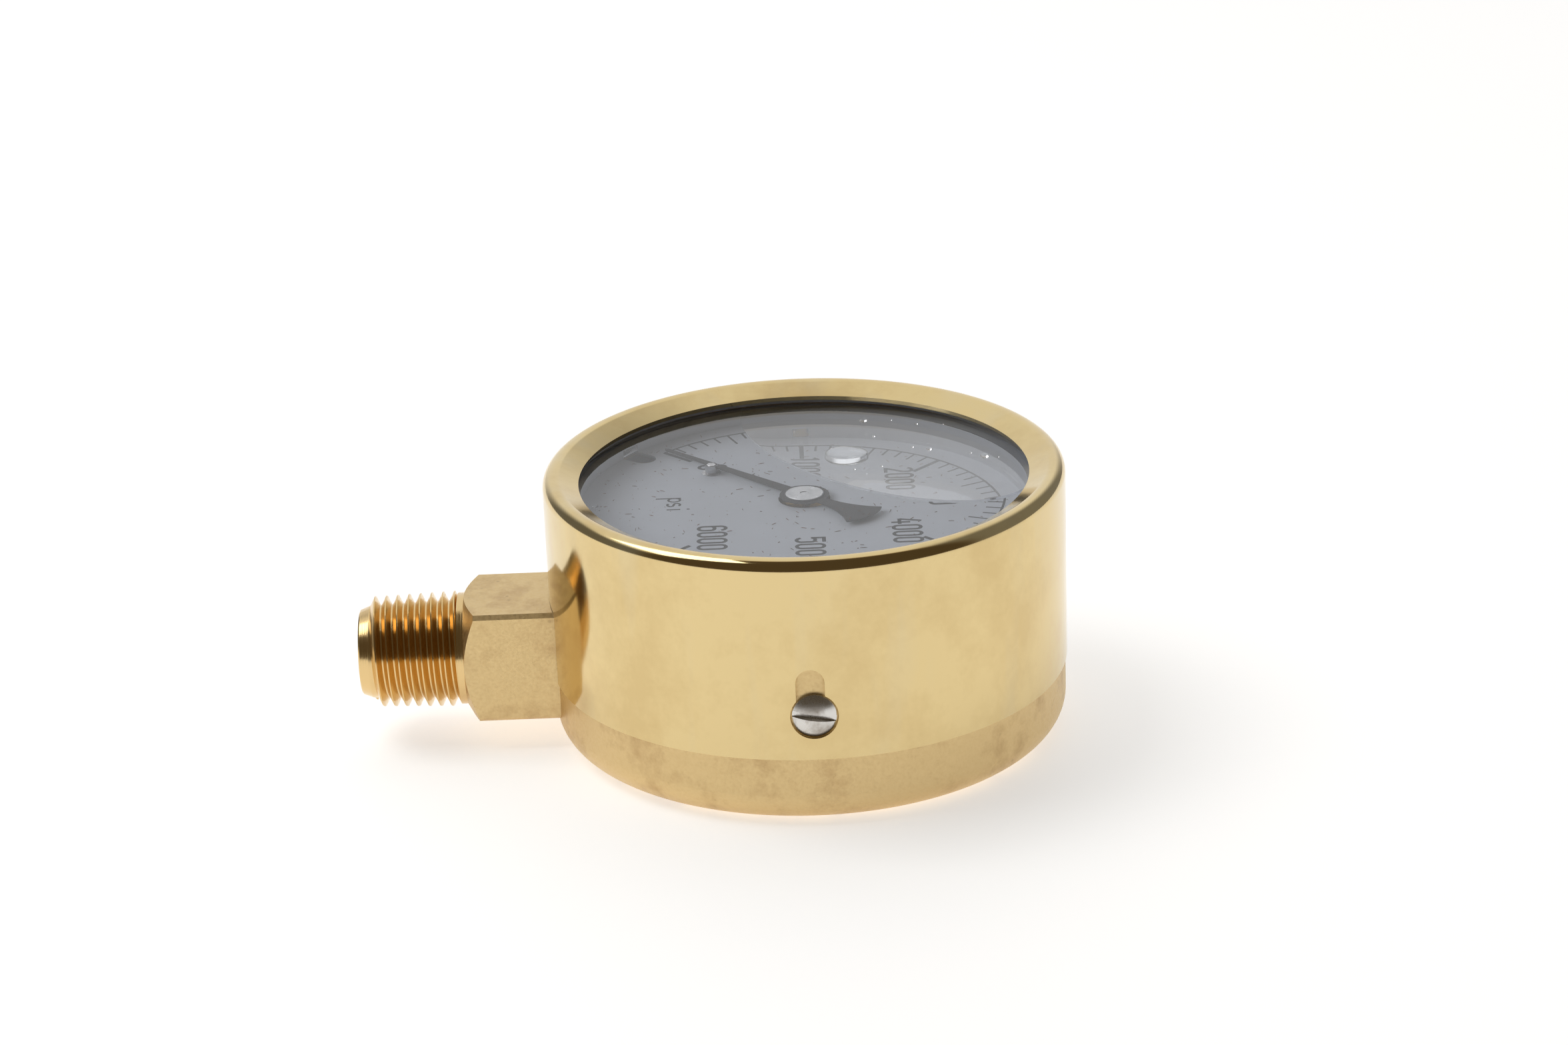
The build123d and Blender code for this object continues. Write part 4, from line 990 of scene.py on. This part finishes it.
def makeSleeve():
    # one ring of faces for each profile point, then the notch and the keyholes are cut out
    low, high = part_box("bezel_sleeve")
    count = sleeve["segments"]
    form = bmesh.new()
    rings = [[form.verts.new(spread(360 * i / count, reach, height)) for i in range(count)]
             for reach, height in sleeveProfile(low.z / mm, high.z / mm)]
    for ring, after in zip(rings, rings[1:] + rings[:1]):
        for i in range(count):
            form.faces.new((ring[i], ring[(i + 1) % count], after[(i + 1) % count], after[i]))
    bmesh.ops.recalc_face_normals(form, faces=form.faces)
    mesh = bpy.data.meshes.new("spun_sleeve")
    form.to_mesh(mesh)
    form.free()

    cutter = bmesh.new()
    half, roof, corner = sleeve["notchHalfWidth"], sleeve["notchTop"], sleeve["notchCorner"]
    outside = -sleeve["radius"] - 1
    prism(cutter, [(outside, y, z) for y, z in (
        (-half, -1), (half, -1), (half, roof - corner), (half - corner, roof), (corner - half, roof),
        (-half, roof - corner))], (6, 0, 0))
    hole, height = sleeve["keyholeRadius"], sleeve["keyholeHeight"]
    slot, shift = sleeve["slotHalfWidth"], sleeve["slotShift"]
    right, left = degrees(acos((shift + slot) / hole)), degrees(acos((shift - slot) / hole))
    outline = arc(0, height, hole, hole, left, 360 + right, 60) + arc(
        shift, sleeve["slotTop"] - slot, slot, slot, 0, 180, 30)
    for side in (-1, 1):
        prism(cutter, [(-side * x, side * -outside, z) for x, z in outline], (0, side * -4, 0))
    bmesh.ops.recalc_face_normals(cutter, faces=cutter.faces)
    tool = bpy.data.meshes.new("cutter")
    cutter.to_mesh(tool)
    cutter.free()

    piece = bpy.data.objects.new("spun_sleeve", mesh)
    blades = bpy.data.objects.new("cutter", tool)
    for made in (piece, blades):
        bpy.context.scene.collection.objects.link(made)
    cut = piece.modifiers.new("openings", "BOOLEAN")
    cut.object = blades
    cut.operation = "DIFFERENCE"
    cut.solver = "EXACT"
    graph = bpy.context.evaluated_depsgraph_get()
    whole = bpy.data.meshes.new_from_object(piece.evaluated_get(graph))
    bpy.data.objects.remove(piece)
    bpy.data.objects.remove(blades)
    whole.polygons.foreach_set("use_smooth", [True] * len(whole.polygons))
    whole.set_sharp_from_angle(angle=radians(35))
    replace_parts(keep("spun_sleeve", whole, "housing", buffedBrass), "bezel_sleeve")


coil = {
    # Bourdon tube: left-handed helix from the socket at 180 degrees
    "radius": 13.0,
    "pitch": 3.0,
    "startHeight": 5.5,
    "halfWidth": 0.9,
    "halfHeight": 1.3,
    "stepsPerTurn": 72,
}


def coilTree():
    # a curve that climbs a helix, with an oval swept along it
    tree, source, sink = newTree("coiledTube", (
        ("Points", "Int"), ("Step", "Float"), ("Radius", "Float"), ("Climb", "Float"), ("Start", "Float"),
        ("Width", "Float"), ("Depth", "Float"), ("Metal", "Material")))
    get = source.outputs
    number = addNode(tree, "GeometryNodeInputIndex")
    angle = addNode(tree, "ShaderNodeMath", {
        0: number.outputs[0], 1: get["Step"], 2: pi}, operation="MULTIPLY_ADD")
    cosine = addNode(tree, "ShaderNodeMath", {0: angle.outputs[0]}, operation="COSINE")
    sine = addNode(tree, "ShaderNodeMath", {0: angle.outputs[0]}, operation="SINE")
    x = addNode(tree, "ShaderNodeMath", {0: cosine.outputs[0], 1: get["Radius"]}, operation="MULTIPLY")
    y = addNode(tree, "ShaderNodeMath", {0: sine.outputs[0], 1: get["Radius"]}, operation="MULTIPLY")
    z = addNode(tree, "ShaderNodeMath", {0: number.outputs[0], 1: get["Climb"], 2: get["Start"]},
                operation="MULTIPLY_ADD")
    spot = addNode(tree, "ShaderNodeCombineXYZ", {0: x.outputs[0], 1: y.outputs[0], 2: z.outputs[0]})
    row = addNode(tree, "GeometryNodeMeshLine", {"Count": get["Points"]})
    wound = addNode(tree, "GeometryNodeSetPosition", {
        "Geometry": row.outputs[0], "Position": spot.outputs[0]})
    path = addNode(tree, "GeometryNodeMeshToCurve", {"Mesh": wound.outputs[0]})
    level = addNode(tree, "GeometryNodeSetCurveNormal", {0: path.outputs[0]}, mode="Z_UP")
    ring = addNode(tree, "GeometryNodeCurvePrimitiveCircle", {"Resolution": 24, "Radius": 1.0})
    oval = addNode(tree, "ShaderNodeCombineXYZ", {0: get["Width"], 1: get["Depth"], 2: 1.0})
    section = addNode(tree, "GeometryNodeTransform", {
        "Geometry": ring.outputs[0], "Scale": oval.outputs[0]})
    swept = addNode(tree, "GeometryNodeCurveToMesh", {
        "Curve": level.outputs[0], "Profile Curve": section.outputs[0], "Fill Caps": True})
    smooth = addNode(tree, "GeometryNodeSetShadeSmooth", {0: swept.outputs[0], "Shade Smooth": True})
    real = addNode(tree, "GeometryNodeRealizeInstances", {0: smooth.outputs[0]})
    made = addNode(tree, "GeometryNodeSetMaterial", {"Geometry": real.outputs[0], "Material": get["Metal"]})
    tree.links.new(made.outputs[0], sink.inputs[0])
    return tree


def makeCoil():
    # the tube's free end stands where the CAD tube's does, at its highest
    low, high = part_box("bourdon_tube")
    turns = (high.z / mm - coil["halfHeight"] - coil["startHeight"]) / coil["pitch"]
    steps = round(turns * coil["stepsPerTurn"])
    piece = grow("coiled_tube", coilTree(), {
        "Points": steps + 1,
        "Step": -2 * pi * turns / steps,
        "Radius": coil["radius"] * mm,
        "Climb": coil["pitch"] * turns / steps * mm,
        "Start": coil["startHeight"] * mm,
        "Width": coil["halfWidth"] * mm,
        "Depth": coil["halfHeight"] * mm,
        "Metal": bronze,
    }, None, "phosphor_bronze", [(0, 0, 0)])
    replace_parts(piece, "bourdon_tube")
    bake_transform(piece)


print("filling made")

finishes = {
    "case": forgedBrass(),
    "sleeve_screws": nickel,
    "movement_screws": nickel,
    "window": windowGlass,
    "dial": dialPaintWithPaintedShade,
    "pointer": blackPaint,
    "pointer_hub": aluminium,
    "stop_pin": steel,
    "window_gasket": greyRubber,
    "window_seal": greyRubber,
    "fill_plug": blackRubber,
    "hairspring": bronze,
    "tube_tip": turnedBrass,
    "restrictor_screw": turnedBrass,
    "back_plate": turnedBrass,
    "front_plate": turnedBrass,
    "movement_posts": turnedBrass,
    "plate_pillars": turnedBrass,
    "sector_gear": turnedBrass,
    "hairspring_collet": turnedBrass,
    "hairspring_stud": turnedBrass,
    "link": steel,
    "link_pin": steel,
    "tip_pin": steel,
    "sector_shaft": steel,
    "pinion_shaft": steel,
}
for nodeName, finish in finishes.items():
    dress(nodeName, finish)

buffedBrass = polishedBrass()
makeSleeve()
makeCoil()
makeSediment()
makeLiquid()
makeHangingDrop()
makeDroplets()
print("tube, sediment, liquid and drops placed")
